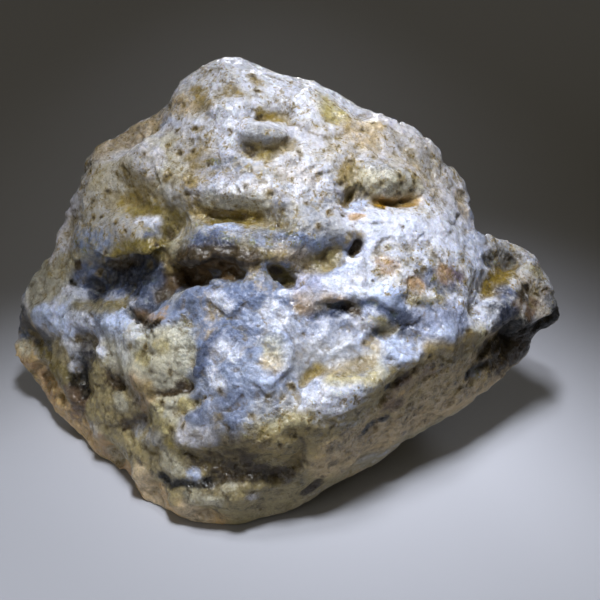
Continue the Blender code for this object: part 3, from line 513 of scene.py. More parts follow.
# Pores that are seen, and small beads: where they are.
PORES = (
    (166, 178), (170, 175), (180, 154), (189, 182), (187, 196), (197, 199), (94, 201), (93, 218), (90, 172),
    (108, 192), (145, 154), (192, 151), (208, 164), (237, 164), (250, 170), (252, 76), (256, 90), (407, 170),
    (382, 182), (400, 176), (401, 183), (415, 175), (414, 181), (410, 191), (372, 123), (362, 130),
    (351, 160), (374, 158), (268, 193), (271, 195), (283, 210), (277, 226), (318, 226), (293, 258),
    (304, 268), (309, 269), (157, 245), (100, 272), (150, 265), (144, 400), (163, 403), (172, 428),
    (184, 425), (225, 443), (251, 415), (308, 428), (331, 428), (358, 414), (430, 357), (469, 331),
    (474, 346), (486, 334), (434, 366), (442, 365), (414, 370), (292, 388), (268, 397), (283, 398),
    (220, 392), (206, 398), (280, 445), (290, 447), (234, 458), (209, 452), (216, 209), (231, 211),
    (244, 217), (341, 184), (345, 178), (356, 186), (366, 195), (424, 270), (400, 202), (366, 343),
    (116, 222), (124, 230), (104, 253), (78, 337), (130, 347), (146, 347), (152, 372), (171, 371),
    (252, 148), (262, 118), (178, 130), (196, 128), (300, 152), (246, 188), (306, 204), (330, 214),
)
BEADS = ((143, 327), (147, 333), (153, 327), (157, 333), (163, 322), (168, 325), (135, 322), (176, 318),
         (139, 340), (186, 330), (194, 475), (203, 483), (212, 470))
PORE_WIDTH = 0.38
PORE_DEPTH = 0.3
# A seen pore's stains: colour, half width, strength.
PORE_STAINS = ((OCHRE, 1.2, 0.55), (UMBER, PORE_WIDTH * 1.7, 0.9))
BEAD_WIDTH = 0.6
BEAD_HEIGHT = 0.45
# More pores, scattered all round: how many, their least and most half width, and their depth as its share.
EXTRA_PORES = 90
EXTRA_WIDTHS = (0.2, 0.45)
EXTRA_DEPTH = 0.6

BLUE_STROKES = (
    ((200, 316), (340, 296)), ((206, 350), (250, 410)), ((270, 350), (340, 360)), ((390, 240), (470, 290)),
    ((230, 176), (330, 200)), ((200, 246), (330, 236)), ((90, 286), (160, 280)), ((500, 300), (540, 280)),
)
WHITE_STROKES = (
    ((220, 76), (330, 100)), ((216, 130), (320, 176)), ((380, 220), (460, 240)), ((360, 290), (470, 300)),
    ((310, 340), (350, 400)), ((70, 316), (120, 326)),
)
OCHRE_STROKES = (
    ((190, 90), (236, 92)), ((250, 90), (330, 110)), ((190, 156), (236, 152)), ((130, 180), (180, 196)),
    ((280, 160), (340, 180)), ((344, 170), (420, 190)), ((90, 170), (110, 220)), ((110, 236), (160, 240)),
    ((350, 130), (430, 170)), ((180, 250), (290, 252)), ((270, 446), (484, 354)), ((400, 270), (460, 280)),
    ((500, 260), (545, 290)), ((60, 250), (100, 210)), ((210, 206), (270, 214)),
)
UMBER_STROKES = (
    ((180, 470), (300, 462)), ((200, 500), (280, 500)), ((340, 440), (440, 400)), ((450, 380), (540, 330)),
    ((80, 372), (90, 400)), ((120, 404), (160, 450)), ((90, 290), (110, 300)), ((180, 270), (230, 264)),
)
# Each wash that the material breaks into patches: name, half width, strength, how much on the hidden sides,
# the shift of its noise there, strokes.
WASHES = (
    ("blue", 8.0, 0.75, 0.35, 4, BLUE_STROKES),
    ("white", 8.0, 0.62, 0.35, 5, WHITE_STROKES),
    ("ochre", 7.0, 0.46, 0.42, 5, OCHRE_STROKES),
    ("umber", 8.0, 0.34, 0.22, 5, UMBER_STROKES),
)
# Strokes that cover all that is seen from the front.
WHOLE_FACE = (
    ((60, 290), (150, 180), (270, 110), (400, 160), (440, 260), (530, 300)),
    ((90, 380), (200, 360), (330, 320), (420, 320)),
    ((150, 450), (260, 470), (400, 400), (500, 350)),
    ((150, 260), (280, 240), (400, 240)),
)
FACE_REACH = 14.0

# What a shift of 1 adds to a noise's places along each axis, so that noises of different shifts differ.
FIELD_STRIDES = (17.3, 5.1, 9.7)
CHIP_STRIDES = (7.7, 3.9, 13.1)
CELL_SPREAD = 9.1
CREASE_SHARPNESS = 2.6
# How far noise shakes a stroke's edge: reach, size of its lumps, shift.
CARVING_WAVE = (0.45, 1.3, 11)
GRAIN_WAVE = (0.5, 2.4, 12)
FIELD_WAVES = ((1.6, 3.0, 21), (0.5, 0.9, 24))
DETAIL_WAVE = (0.45, 1.6, 27)
# The grain's layers: height, size of its lumps, shift.
CREASE_LAYERS = ((0.24, 4.2, 1), (-0.14, 2.6, 2), (0.08, 1.5, 3))
CHIP_LAYERS = ((0.14, 3.6, 4), (0.09, 1.9, 6))
# The lower face is layered: its noise is stretched along the ground.
LAYER_STRETCH = (0.2, 0.2, 1.0)
LAYER_HEIGHT = 0.2
# The share of the grain that is left where it is softest.
LEAST_GRAIN = 0.3
# The grain fades out below this height, and what is under GROUND_GAP lies on the ground.
GRAIN_FADE = 1.5
GROUND_GAP = 0.12
# Rounds of averaging for wide hollows and for fine creases.
HOLLOW_ROUNDS = 30
CREASE_ROUNDS = 5


def mesh_places(mesh, name="co"):
    """A row of three numbers for each corner of the mesh: its place, or its normal."""
    values = np.empty(len(mesh.vertices) * 3)
    mesh.vertices.foreach_get(name, values)
    return values.reshape(-1, 3)


def set_places(thing, places):
    thing.data.vertices.foreach_set("co", (places * MM).ravel())
    thing.data.update()


def evaluated(thing):
    """Gives the object the mesh that its modifiers make, and takes the modifiers off."""
    graph = bpy.context.evaluated_depsgraph_get()
    mesh = bpy.data.meshes.new_from_object(thing.evaluated_get(graph))
    thing.modifiers.clear()
    thing.data = mesh


def close_skin(node):
    """A finer copy of the solid's surface, with its flat facets rounded over."""
    thing = bpy.data.objects.new("skin", node.data.copy())
    bpy.context.scene.collection.objects.link(thing)
    weld = thing.modifiers.new("weld", "WELD")
    weld.merge_threshold = 0.00001
    finer = thing.modifiers.new("finer", "SUBSURF")
    finer.levels = 2
    finer.render_levels = 2
    voxels = thing.modifiers.new("voxels", "REMESH")
    voxels.mode = "VOXEL"
    voxels.voxel_size = SKIN_VOXEL * MM
    smooth = thing.modifiers.new("smooth", "SMOOTH")
    smooth.factor = 0.5
    smooth.iterations = 3
    evaluated(thing)
    return thing


def tree_of(thing):
    """The skin in mm, ready to be hit by rays."""
    corners = [corner.co / MM for corner in thing.data.vertices]
    return BVHTree.FromPolygons(corners, [tuple(face.vertices) for face in thing.data.polygons])


def on_board(tree, marks):
    """Where the stone is behind these board marks and half way between them, and how it faces there."""
    line = [marks[0]]
    for first, second in zip(marks, marks[1:]):
        line.append(((first[0] + second[0]) / 2, (first[1] + second[1]) / 2))
        line.append(second)
    eye = sight_centre + NEAR * EYE_DISTANCE
    found = []
    for right, down in line:
        across = (right - BOARD_MIDDLE) * BOARD_MARK
        up = (BOARD_MIDDLE - down) * BOARD_MARK
        target = sight_centre + RIGHT * across + UP * up
        place, facing, _, _ = tree.ray_cast(eye, (target - eye).normalized())
        if place is not None:
            found.append((place, facing))
    return found


def nearness(places, line, reach):
    """1 on the line, falling smoothly to 0 at the reach. A line of no places is near nothing."""
    values = np.zeros(len(places))
    if not line:
        return values
    line = [np.array(place) for place in line]
    if len(line) == 1:
        line.append(line[0])
    low = np.min(line, axis=0) - reach
    high = np.max(line, axis=0) + reach
    near = np.flatnonzero(((places > low) & (places < high)).all(axis=1))
    least = np.full(len(near), np.inf)
    some = places[near]
    for first, second in zip(line, line[1:]):
        span = second - first
        along = np.clip((some - first) @ span / max(span @ span, 1e-9), 0, 1)
        least = np.minimum(least, np.linalg.norm(some - (first + along[:, None] * span), axis=1))
    values[near] = np.clip(1 - (least / reach) ** 2, 0, 1) ** 2
    return values


def near_marks(places, tree, marks, reach):
    """How near each place is to the line behind these board marks."""
    return nearness(places, [place for place, _ in on_board(tree, marks)], reach)


def field(places, size, shift):
    """Smooth noise from -1 to 1, with lumps about this many mm across."""
    offset = Vector([shift * stride for stride in FIELD_STRIDES])
    return np.array([noise.noise(Vector(place) / size + offset) for place in places])


def shaken(places, *waves):
    """The places moved about by smooth noise. A wave is its reach, the size of its lumps and its shift."""
    moved = places.copy()
    for reach, size, shift in waves:
        along_axes = [field(places, size, shift + axis / 7) for axis in range(3)]
        moved += reach * np.stack(along_axes, axis=1)
    return moved


def creases(places, size, shift):
    """Noise of round hollows between sharp ridges, from -0.5 on their floors to 0.5 on the ridges."""
    return 0.5 - np.clip(np.abs(field(places, size, shift)) * CREASE_SHARPNESS, 0, 1)


def chips(places, size, shift):
    """Heights of flat broken faces about this many mm across, each tilted its own way, steepness up to 1."""
    offset = Vector([shift * stride for stride in CHIP_STRIDES])
    heights = np.empty(len(places))
    for number, place in enumerate(places):
        at = Vector(place) / size + offset
        middle = noise.voronoi(at)[1][0]
        # cell_vector is the same all over a unit cube, so the middles are spread out first.
        tilt = noise.cell_vector(middle * CELL_SPREAD) * 2 - Vector((1, 1, 1))
        heights[number] = (at - middle).dot(tilt) * size
    return np.clip(heights, -size / 2, size / 2)


def layers(shape, rows, places):
    """The sum of some layers of one kind of noise."""
    return sum(height * shape(places, size, shift) for height, size, shift in rows)


def step(values, low, high):
    """0 below low, 1 above high, smooth between."""
    eased = np.clip((values - low) / (high - low), 0, 1)
    return eased * eased * (3 - 2 * eased)


def around_each(mesh, places):
    """The middle of the corners that share an edge with each corner."""
    ends = np.empty(len(mesh.edges) * 2, dtype=np.int64)
    mesh.edges.foreach_get("vertices", ends)
    first, second = ends.reshape(-1, 2).T
    total = np.zeros_like(places)
    for axis in range(3):
        total[:, axis] += np.bincount(first, places[second, axis], len(places))
        total[:, axis] += np.bincount(second, places[first, axis], len(places))
    return total / np.maximum(np.bincount(ends, minlength=len(places)), 1)[:, None]


def ease(thing):
    """Draws the skin smooth round the EASED strokes, which fills the solid's pits and rounds its ledges."""
    places = mesh_places(thing.data) / MM
    tree = tree_of(thing)
    pull = np.zeros(len(places))
    for _, reach, strength, *marks in EASED:
        pull = np.maximum(pull, strength * np.sqrt(near_marks(places, tree, marks, reach)))
    for _ in range(EASING_ROUNDS):
        places += (around_each(thing.data, places) - places) * pull[:, None] * EASING_PULL
    set_places(thing, places)


def carve(thing):
    """Pushes the CARVING strokes into the skin, a little ragged at their edges."""
    places = mesh_places(thing.data) / MM
    ragged = shaken(places, CARVING_WAVE)
    tree = tree_of(thing)
    moved = np.zeros_like(places)
    for _, reach, push, rise, *marks in CARVING:
        found = on_board(tree, marks)
        facing = sum((way for _, way in found), Vector()).normalized()
        near = nearness(ragged, [place for place, _ in found], reach)
        moved += near[:, None] * np.array(facing * push + UP * rise)
    set_places(thing, places + moved)


def grain_share(places, tree):
    """How much of the grain is left at each place: less round the SMOOTH strokes."""
    share = np.ones(len(places))
    for reach, less, *marks in SMOOTH:
        share *= 1 - less * np.sqrt(near_marks(places, tree, marks, reach))
    return share


def scattered_pores(tree):
    """Places and half widths for small pores all round the stone, found by rays towards a wide middle."""
    chance = random.Random(SEED)
    middle = Vector((0.0, 0.0, 24.0))
    sideways_most = (22, 8, 14)
    outside = 90
    lowest = 2
    steepest = -0.5
    found = []
    while len(found) < EXTRA_PORES:
        outward = Vector([chance.gauss(0, 1) for _ in range(3)]).normalized()
        if outward.z < steepest:
            continue
        sideways = Vector([chance.uniform(-most, most) for most in sideways_most])
        place, _, _, _ = tree.ray_cast(middle + sideways + outward * outside, -outward)
        if place is not None and place.z > lowest:
            found.append((place, chance.uniform(*EXTRA_WIDTHS)))
    return found


def grain(thing, pores):
    """Ridges, lumps and pores too small for the solid."""
    places = mesh_places(thing.data) / MM
    facing = mesh_places(thing.data, "normal")
    tree = tree_of(thing)
    bent = shaken(places, GRAIN_WAVE)
    lift = layers(creases, CREASE_LAYERS, bent) + layers(chips, CHIP_LAYERS, bent)
    low_face = step(-facing[:, 2], -0.25, 0.15)
    layered = field(bent * np.array(LAYER_STRETCH), 0.8, 5)
    lift = lift * (1 - 0.5 * low_face) + low_face * LAYER_HEIGHT * layered
    lift *= LEAST_GRAIN + (1 - LEAST_GRAIN) * grain_share(places, tree)
    for mark in PORES:
        lift -= PORE_DEPTH * near_marks(bent, tree, [mark], PORE_WIDTH)
    for place, width in pores:
        lift -= width * EXTRA_DEPTH * nearness(bent, [place], width)
    for mark in BEADS:
        lift += BEAD_HEIGHT * near_marks(places, tree, [mark], BEAD_WIDTH)
    above = np.clip(places[:, 2] / GRAIN_FADE, 0, 1)
    places += facing * (lift * above)[:, None]
    places[places[:, 2] < GROUND_GAP, 2] = 0.0
    set_places(thing, places)


def thin_out(thing):
    """Brings the skin under MOST_TRIANGLES."""
    thing.data.calc_loop_triangles()
    fewer = thing.modifiers.new("fewer", "DECIMATE")
    fewer.ratio = MOST_TRIANGLES / len(thing.data.loop_triangles)
    evaluated(thing)


def hollowness(mesh, rounds):
    """How far each corner lies below the average of what surrounds it, in mm."""
    places = mesh_places(mesh) / MM
    facing = mesh_places(mesh, "normal")
    around = places
    for _ in range(rounds):
        around = around_each(mesh, around)
    return ((around - places) * facing).sum(axis=1)


def blend(colours, colour, amount):
    return colours + (colour - colours) * np.clip(amount, 0, 1)[:, None]


def strokes_over(places, tree, strokes, reach):
    """The most that any of these strokes covers of each place."""
    most = np.zeros(len(places))
    for marks in strokes:
        most = np.maximum(most, near_marks(places, tree, marks, reach))
    return most


def underneath(places, facing):
    """1 where the stone faces the ground, falling to 0 where it faces up."""
    return step(-facing[:, 2] + 0.3 * field(places, 6.0, 32), -0.2, 0.35)


def broad_colours(places, facing, tree):
    """The wide fields of colour, softly merged, all round the stone."""
    under = underneath(places, facing)
    wide = field(places, 13.0, 31)
    small = field(places, 2.4, 33)
    colours = np.tile(PALE, (len(places), 1))
    for colour, amount in (
            (CREAM, step(wide, -0.1, 0.35) * 0.9),
            (GREY, step(field(places, 6.0, 32), 0.0, 0.3) * 0.7),
            (STEEL, step(field(places, 9.0, 34) + 0.3 * small, 0.10, 0.4) * 0.8),
            (BROWN, under * 0.9),
            (TAN, under * step(small + wide, 0.0, 0.5) * 0.6)):
        colours = blend(colours, colour, amount)
    loose = shaken(places, *FIELD_WAVES)
    for _, colour, reach, strength, *marks in FIELDS:
        near = near_marks(loose, tree, marks, reach)
        colours = blend(colours, colour, strength * step(near, 0.02, 0.5))
    return colours


def lay_over(colours, cover, colour, amount):
    """Lays one more colour over those there: changes the colours that show, and how much they cover."""
    touched = amount > 0
    more = amount[touched]
    under = cover[touched] * (1 - more)
    colours[touched] = (colour * more[:, None] + colours[touched] * under[:, None]) / (more + under)[:, None]
    cover[touched] = more + under


def detail_colours(places, tree, pores):
    """The small stained, dark and bright spots: their colour, and how far each covers what is round it."""
    loose = shaken(places, DETAIL_WAVE)
    colours = np.tile(OCHRE, (len(places), 1))
    cover = np.zeros(len(places))
    for _, colour, reach, strength, *marks in DETAILS:
        near = near_marks(loose, tree, marks, reach * 1.5)
        lay_over(colours, cover, colour, strength * step(near, 0.0, 0.9))
    for mark in PORES:
        for colour, reach, strength in PORE_STAINS:
            near = near_marks(loose, tree, [mark], reach)
            lay_over(colours, cover, colour, strength * step(near, 0.1, 0.8))
    for place, width in pores:
        near = nearness(loose, [place], width * 1.5)
        lay_over(colours, cover, UMBER, 0.8 * step(near, 0.1, 0.8))
    return colours, cover


def wash_amounts(places, tree, under, hollow, crease):
    """How likely each wash is at each place, before the material breaks it up."""
    hidden = 1 - step(strokes_over(places, tree, WHOLE_FACE, FACE_REACH), 0.0, 0.2)
    amounts = {}
    for name, reach, strength, elsewhere, shift, strokes in WASHES:
        seen = strength * step(strokes_over(places, tree, strokes, reach), 0.0, 0.5)
        unseen = hidden * elsewhere * (1 + 2 * field(places, 9.0, shift))
        amounts[name] = np.maximum(seen, unseen)
    # Ochre gathers in hollows and creases, and blue and white keep off the underside.
    amounts["ochre"] += 0.55 * hollow * (1 - under) + 0.15 * crease
    amounts["blue"] *= 1 - under
    amounts["white"] *= 1 - under
    return {name: np.clip(amount, 0, 1) for name, amount in amounts.items()}


def painted_glint_amount(washes, under, share, marks, cover):
    """Where the painted glints of silky crystal show: with the blue and white washes, not underneath, not on
    warm marks.
    """
    painted_glints = (0.30 + 0.95 * washes["blue"] + 0.45 * washes["white"]) * (1 - 0.8 * under) * (0.4 + 0.6 * share)
    warmth = np.clip(1 - marks[:, 2] / marks[:, 0], 0, 1)
    return np.clip(painted_glints, 0, 1) * (1 - np.clip(1.5 * warmth * cover, 0, 0.9))


def set_layer(mesh, name, values):
    mesh.attributes.new(name, "FLOAT", "POINT").data.foreach_set("value", values.astype(np.float32))


def set_colour_layer(mesh, name, colours):
    layer = mesh.color_attributes.new(name, "FLOAT_COLOR", "POINT")
    layer.data.foreach_set("color", np.c_[colours, np.ones(len(colours))].astype(np.float32).ravel())


def paint(thing, pores):
    """Colours every corner of the skin, and says how glossy, rough, crystalline and stained it is there, how
    much painted glint it gets and how deep its creases are.
    """
    mesh = thing.data
    places = mesh_places(mesh) / MM
    facing = mesh_places(mesh, "normal")
    tree = tree_of(thing)
    under = underneath(places, facing)
    hollow = step(hollowness(mesh, HOLLOW_ROUNDS), 0.05, 0.55)
    crease = step(hollowness(mesh, CREASE_ROUNDS), 0.015, 0.10)
    share = grain_share(places, tree)
    marks, cover = detail_colours(places, tree, pores)
    washes = wash_amounts(places, tree, under, hollow, crease)
    set_colour_layer(mesh, "tint", broad_colours(places, facing, tree))
    set_colour_layer(mesh, "mark", marks)
    set_layer(mesh, "cover", cover)
    for name in ("white", "ochre", "umber"):
        set_layer(mesh, name, washes[name])
    # How much painted glint each place gets.
    set_layer(mesh, "painted_glints", painted_glint_amount(washes, under, share, marks, cover))
    set_layer(mesh, "gloss", np.clip(1 - 0.8 * under - 0.3 * hollow, 0, 1))
    set_layer(mesh, "relief", share)
    set_layer(mesh, "crease", crease)


class Nodes:
    """Short names for building a material's nodes."""

    def __init__(self, name):
        self.material = bpy.data.materials.new(name)
        self.material.use_nodes = True
        self.tree = self.material.node_tree
        self.shader = self.tree.nodes["Principled BSDF"]

    def add(self, kind, **settings):
        node = self.tree.nodes.new(kind)
        for key, value in settings.items():
            setattr(node, key, value)
        return node

    def join(self, output, socket):
        self.tree.links.new(output, socket)

    def feed(self, socket, value):
        """Joins another node's output to the socket, or sets a plain number or colour on it."""
        if isinstance(value, (int, float, tuple)):
            socket.default_value = value
        else:
            self.join(value, socket)

    def layer(self, name, output="Fac"):
        return self.add("ShaderNodeAttribute", attribute_name=name).outputs[output]

    def place_in_mm(self):
        scaled = self.add("ShaderNodeMapping")
        self.join(self.add("ShaderNodeTexCoord").outputs["Object"], scaled.inputs["Vector"])
        scaled.inputs["Scale"].default_value = (1 / MM, 1 / MM, 1 / MM)
        return scaled.outputs["Vector"]

    def texture(self, kind, where, numbers, **settings):
        """The outputs of a texture that is read at these places, with its numbers set by their names."""
        node = self.add(kind, **settings)
        self.join(where, node.inputs["Vector"])
        for name, number in numbers.items():
            node.inputs[name].default_value = number
        return node.outputs

    def noise(self, where, scale, detail, roughness=0.6, distortion=0.0):
        numbers = {"Scale": scale, "Detail": detail, "Roughness": roughness, "Distortion": distortion}
        return self.texture("ShaderNodeTexNoise", where, numbers)["Fac"]

    def noise_colour(self, where, scale):
        return self.texture("ShaderNodeTexNoise", where, {"Scale": scale})["Color"]

    def cells(self, where, scale):
        return self.texture("ShaderNodeTexVoronoi", where, {"Scale": scale})

    def ridges(self, where, scale, detail, distortion):
        """Thin bright ridges with dark hollows between them, from 0 to about 2."""
        numbers = {"Scale": scale, "Detail": detail, "Roughness": 0.62, "Lacunarity": 2.1,
                   "Offset": 0.9, "Gain": 1.6, "Distortion": distortion}
        return self.texture("ShaderNodeTexNoise", where, numbers, noise_type="RIDGED_MULTIFRACTAL")["Fac"]

    def spread(self, value, low, high, to_low, to_high):
        """Goes smoothly from to_low, where the value is low, to to_high, where it is high."""
        node = self.add("ShaderNodeMapRange", interpolation_type="SMOOTHSTEP")
        for socket, number in zip(node.inputs, (value, low, high, to_low, to_high)):
            self.feed(socket, number)
        return node.outputs["Result"]

    def math(self, operation, *values):
        node = self.add("ShaderNodeMath", operation=operation)
        for socket, value in zip(node.inputs, values):
            self.feed(socket, value)
        return node.outputs["Value"]

    def plus(self, first, second):
        return self.math("ADD", first, second)

    def times(self, first, second):
        return self.math("MULTIPLY", first, second)

    def vector_math(self, operation, first, second):
        node = self.add("ShaderNodeVectorMath", operation=operation)
        self.feed(node.inputs[0], first)
        self.feed(node.inputs[1], second)
        return node.outputs["Value" if operation == "DOT_PRODUCT" else "Vector"]

    def ramp(self, value, stops):
        node = self.add("ShaderNodeValToRGB")
        self.join(value, node.inputs["Fac"])
        line = node.color_ramp.elements
        while len(line) < len(stops):
            line.new(0.5)
        for element, (position, colour) in zip(line, stops):
            element.position = position
            element.color = (*colour, 1)
        return node.outputs["Color"]

    def grey(self, value):
        node = self.add("ShaderNodeCombineColor")
        for socket in node.inputs[:3]:
            self.join(value, socket)
        return node.outputs["Color"]

    def mix(self, share, first, second, blend_type="MIX"):
        node = self.add("ShaderNodeMix", data_type="RGBA", blend_type=blend_type)
        self.feed(node.inputs["Factor"], share)
        for name, value in (("A", first), ("B", second)):
            sockets = [socket for socket in node.inputs if socket.name == name and socket.type == "RGBA"]
            self.feed(sockets[0], value)
        return [socket for socket in node.outputs if socket.type == "RGBA"][0]

    def wash(self, where, name, scale, edge, most):
        """A layer's amount, broken into patches by noise: nothing at 0, everything at 1."""
        ragged = self.times(self.plus(self.noise(where, scale, 9, 0.7, 0.2), -0.5), 2.2)
        return self.spread(self.plus(self.layer(name), ragged), 0.5 - edge, 0.5 + edge, 0.0, most)

    def facets(self, where, scale):
        """Heights of small flat faces, each with a tilt of its own, as on a broken crystal."""
        bent = self.vector_math("ADD", where, self.noise_colour(where, scale * 1.5))
        cells = self.cells(bent, scale)
        from_middle = self.vector_math("SUBTRACT", bent, cells["Position"])
        tilt = self.vector_math("SUBTRACT", cells["Color"], (0.5, 0.5, 0.5))
        return self.vector_math("DOT_PRODUCT", from_middle, tilt)

    def bump(self, height):
        """Tilts the shader's normal by heights in mm."""
        node = self.add("ShaderNodeBump")
        node.inputs["Strength"].default_value = 1.0
        node.inputs["Distance"].default_value = MM
        self.join(height, node.inputs["Height"])
        self.join(node.outputs["Normal"], self.shader.inputs["Normal"])


def painted_colour(made, place):
    """The painted layers, with their washes broken into patches and their marks mottled."""
    colour = made.layer("tint", "Color")
    colour = made.mix(made.wash(place, "white", 0.7, 0.3, 0.6), colour, CHALK)
    colour = made.mix(made.wash(place, "ochre", 0.5, 0.3, 0.55), colour, OCHRE_STAIN)
    mottle = made.spread(made.noise(place, 1.2, 8, 0.68), 0.3, 0.7, 0.66, 1.36)
    mark = made.mix(1.0, made.layer("mark", "Color"), made.grey(mottle), "MULTIPLY")
    colour = made.mix(made.wash(place, "cover", 0.7, 0.45, 1.0), colour, mark)
    grains = made.spread(made.noise(place, 2.2, 6, 0.75), 0.32, 0.68, 0.84, 1.16)
    return made.mix(1.0, colour, made.grey(grains), "MULTIPLY")


def painted_glint_pattern(made, place):
    """The ridges where the painted glints of silky crystal fall, coarse flakes and fine sparkle."""
    flakes = made.ridges(place, 0.34, 8, 0.45)
    sparkle = made.ridges(place, 1.1, 5, 0.3)
    return made.plus(made.times(flakes, 0.52), made.times(sparkle, 0.48))


def with_painted_glints(made, place, colour, painted_glints, painted_glint_share):
    """The colour with painted glints: brighter on the ridges as painted highlight and duller between them as
    painted shade.
    """
    drift = made.spread(made.noise(place, 0.22, 5, 0.6), 0.35, 0.65, -0.09, 0.09)
    tones = made.ramp(made.plus(made.times(painted_glints, 0.5), drift), PAINTED_GLINT_TONES)
    return made.mix(painted_glint_share, colour, made.mix(1.0, colour, tones, "MULTIPLY"))


def rusted(made, place, colour):
    """The colour with clusters of rust specks in gilt halos, and hairlines between them."""
    likely = made.plus(made.layer("ochre"), made.noise(place, 0.3, 7, 0.75))
    clusters = made.spread(likely, 0.78, 0.94, 0.0, 1.0)
    shake = made.vector_math("MULTIPLY", made.noise_colour(place, 1.3), (2.6, 2.6, 2.6))
    loose = made.vector_math("ADD", place, shake)
    for scale in SPECK_CELLS:
        distance = made.cells(loose, scale)["Distance"]
        halo = made.times(made.spread(distance, SPECK_CORE, SPECK_HALO, 0.7, 0.0), clusters)
        colour = made.mix(halo, colour, GILT, "DARKEN")
        core = made.times(made.spread(distance, 0.06, SPECK_CORE, 0.85, 0.0), clusters)
        colour = made.mix(core, colour, SPECK)
    contour = made.math("ABSOLUTE", made.plus(made.noise(place, 0.42, 7, 0.62, 0.3), -0.5))
    lines = made.times(made.spread(contour, 0.002, 0.014, 0.6, 0.0), clusters)
    return made.mix(lines, colour, HAIRLINE)


def shaded_in_creases(made, place, colour):
    """The colour with painted shade darkening the creases, in patches."""
    patches = made.spread(made.noise(place, 1.2, 5), 0.4, 0.6, 0.1, 0.6)
    return made.mix(made.times(made.layer("crease"), patches), colour, CREASE_SHADE, "DARKEN")


def roughness(made, place):
    """Waxy where the gloss layer is 1, dull where it is 0, a little patchy."""
    gloss = made.spread(made.layer("gloss"), 0.0, 1.0, 0.62, 0.21)
    patches = made.spread(made.noise(place, 0.9, 6), 0.35, 0.65, -0.08, 0.12)
    return made.plus(gloss, patches)


def relief(made, place, painted_glints, painted_glint_share):
    """Heights in mm: a soft swell and two sizes of small facets, and the ridges of the painted glints."""
    swell = made.times(made.noise(place, 0.6, 3, 0.5, 0.2), 0.5)
    heights = made.plus(swell, made.times(made.facets(place, 0.9), 0.3))
    heights = made.plus(heights, made.times(made.facets(place, 2.4), 0.25))
    heights = made.times(heights, made.spread(made.layer("relief"), 0.0, 1.0, 0.35, 1.0))
    return made.plus(heights, made.times(painted_glints, made.times(painted_glint_share, 0.14)))


def stone_material():
    made = Nodes("ventifact_stone")
    place = made.place_in_mm()
    painted_glints = painted_glint_pattern(made, place)
    patches = made.spread(made.noise(place, 0.3, 3), 0.36, 0.6, 0.45, 1.0)
    painted_glint_share = made.times(made.layer("painted_glints"), patches)
    # Painted glints: brighter on the ridges as painted highlight, duller between them as painted shade.
    colour = with_painted_glints(made, place, painted_colour(made, place), painted_glints, painted_glint_share)
    colour = made.mix(made.wash(place, "umber", 0.6, 0.22, 0.8), colour, UMBER_STAIN)
    # Rust specks, then painted shade darkening the creases.
    colour = shaded_in_creases(made, place, rusted(made, place, colour))
    made.join(colour, made.shader.inputs["Base Color"])
    made.join(roughness(made, place), made.shader.inputs["Roughness"])
    made.bump(relief(made, place, painted_glints, painted_glint_share))
    for name, number in STONE_NUMBERS.items():
        made.shader.inputs[name].default_value = number
    return made.material


def floor_material():
    made = Nodes("pale_floor")
    made.shader.inputs["Base Color"].default_value = FLOOR_PALE
    made.shader.inputs["Roughness"].default_value = 0.85
    return made.material


def dress_stone(frame):
    node = frame["nodes"]["stone"]
    thing = close_skin(node)
    ease(thing)
    carve(thing)
    pores = scattered_pores(tree_of(thing))
    grain(thing, pores)
    thin_out(thing)
    paint(thing, pores)
    thing.data.materials.clear()
    thing.data.materials.append(stone_material())
    thing.data.polygons.foreach_set("use_smooth", [True] * len(thing.data.polygons))
    thing.name = "ventifact_skin"
    thing.data.name = "ventifact_skin"
    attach(thing, "root")
    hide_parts("stone")


def lay_floor():
    bpy.ops.mesh.primitive_plane_add(size=FLOOR_WIDTH)
    floor = bpy.context.object
    floor.name = "floor"
    floor.data.materials.append(floor_material())


def aim(thing, target):
    thing.rotation_mode = "QUATERNION"
    thing.rotation_quaternion = (Vector(target) - thing.location).to_track_quat("-Z", "Y")


def lamp(name, kind, place, target, energy, **settings):
    """A lamp at this place in metres, aimed at the target."""
    light = bpy.data.lights.new(name, kind)
    light.energy = energy
    for key, value in settings.items():
        setattr(light, key, value)
    thing = bpy.data.objects.new(name, light)
    bpy.context.scene.collection.objects.link(thing)
    thing.location = place
    aim(thing, target)


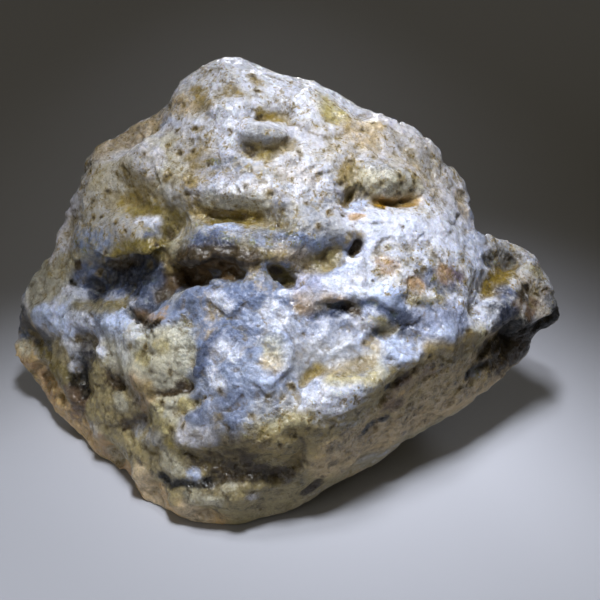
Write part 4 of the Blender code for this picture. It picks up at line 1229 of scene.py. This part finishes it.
def light_scene():
    """A soft lamp close overhead and a weaker one beside it, a spot behind, and two weak fills."""
    lamp("overhead", "SPOT", (-0.002, -0.054, 0.25), (-0.002, -0.058, 0.0), 2.3, color=(0.94, 0.96, 1.0),
         shadow_soft_size=0.024, spot_size=math.radians(38), spot_blend=0.25)
    lamp("top_light", "SPOT", (0.014, 0.004, 0.21), (0.014, 0.004, 0.0), 1.0, color=(0.94, 0.95, 1.0),
         shadow_soft_size=0.025, spot_size=math.radians(26), spot_blend=0.6)
    lamp("back_fill", "AREA", (0.10, 0.45, 0.30), (0.0, 0.0, 0.02), 0.06, color=(1.0, 0.98, 0.94), size=0.30)
    lamp("back_light", "SPOT", (-0.02, 0.36, 0.10), (0.0, 0.0, 0.03), 1.5, color=(0.96, 0.97, 1.0),
         shadow_soft_size=0.04, spot_size=math.radians(20), spot_blend=0.5)
    lamp("front_fill", "AREA", (-0.32, -0.32, 0.12), (0.0, 0.0, 0.02), 0.28, color=(1.0, 0.97, 0.92),
         size=0.25)
    world = bpy.data.worlds.new("room")
    bpy.context.scene.world = world
    world.use_nodes = True
    world.node_tree.nodes["Background"].inputs["Color"].default_value = ROOM_GLOW
    world.node_tree.nodes["Background"].inputs["Strength"].default_value = ROOM_GLOW_STRENGTH
    bpy.context.scene.view_settings.view_transform = "Standard"


def place_camera():
    """The photograph's view, from the eye that the sight board is square to. The board fills the picture."""
    camera = bpy.data.cameras.new("camera")
    camera.sensor_width = SENSOR
    camera.lens = SENSOR * EYE_DISTANCE / BOARD_WIDTH
    camera.clip_start = 0.01
    thing = bpy.data.objects.new("camera", camera)
    bpy.context.scene.collection.objects.link(thing)
    thing.location = (sight_centre + NEAR * EYE_DISTANCE) * MM
    aim(thing, sight_centre * MM)
    bpy.context.scene.camera = thing


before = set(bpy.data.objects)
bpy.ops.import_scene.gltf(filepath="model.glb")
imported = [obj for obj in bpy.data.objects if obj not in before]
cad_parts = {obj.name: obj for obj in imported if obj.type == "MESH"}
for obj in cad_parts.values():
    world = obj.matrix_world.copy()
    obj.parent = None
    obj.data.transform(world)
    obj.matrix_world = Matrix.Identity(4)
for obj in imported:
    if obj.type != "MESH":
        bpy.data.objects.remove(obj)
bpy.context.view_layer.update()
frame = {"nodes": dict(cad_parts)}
low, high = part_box("stone")
sight_centre = Vector(((low.x + high.x) / 2, (low.y + high.y) / 2, low.z)) / MM + SIGHT_OFFSET
place_camera()
dress_stone(frame)
lay_floor()
light_scene()
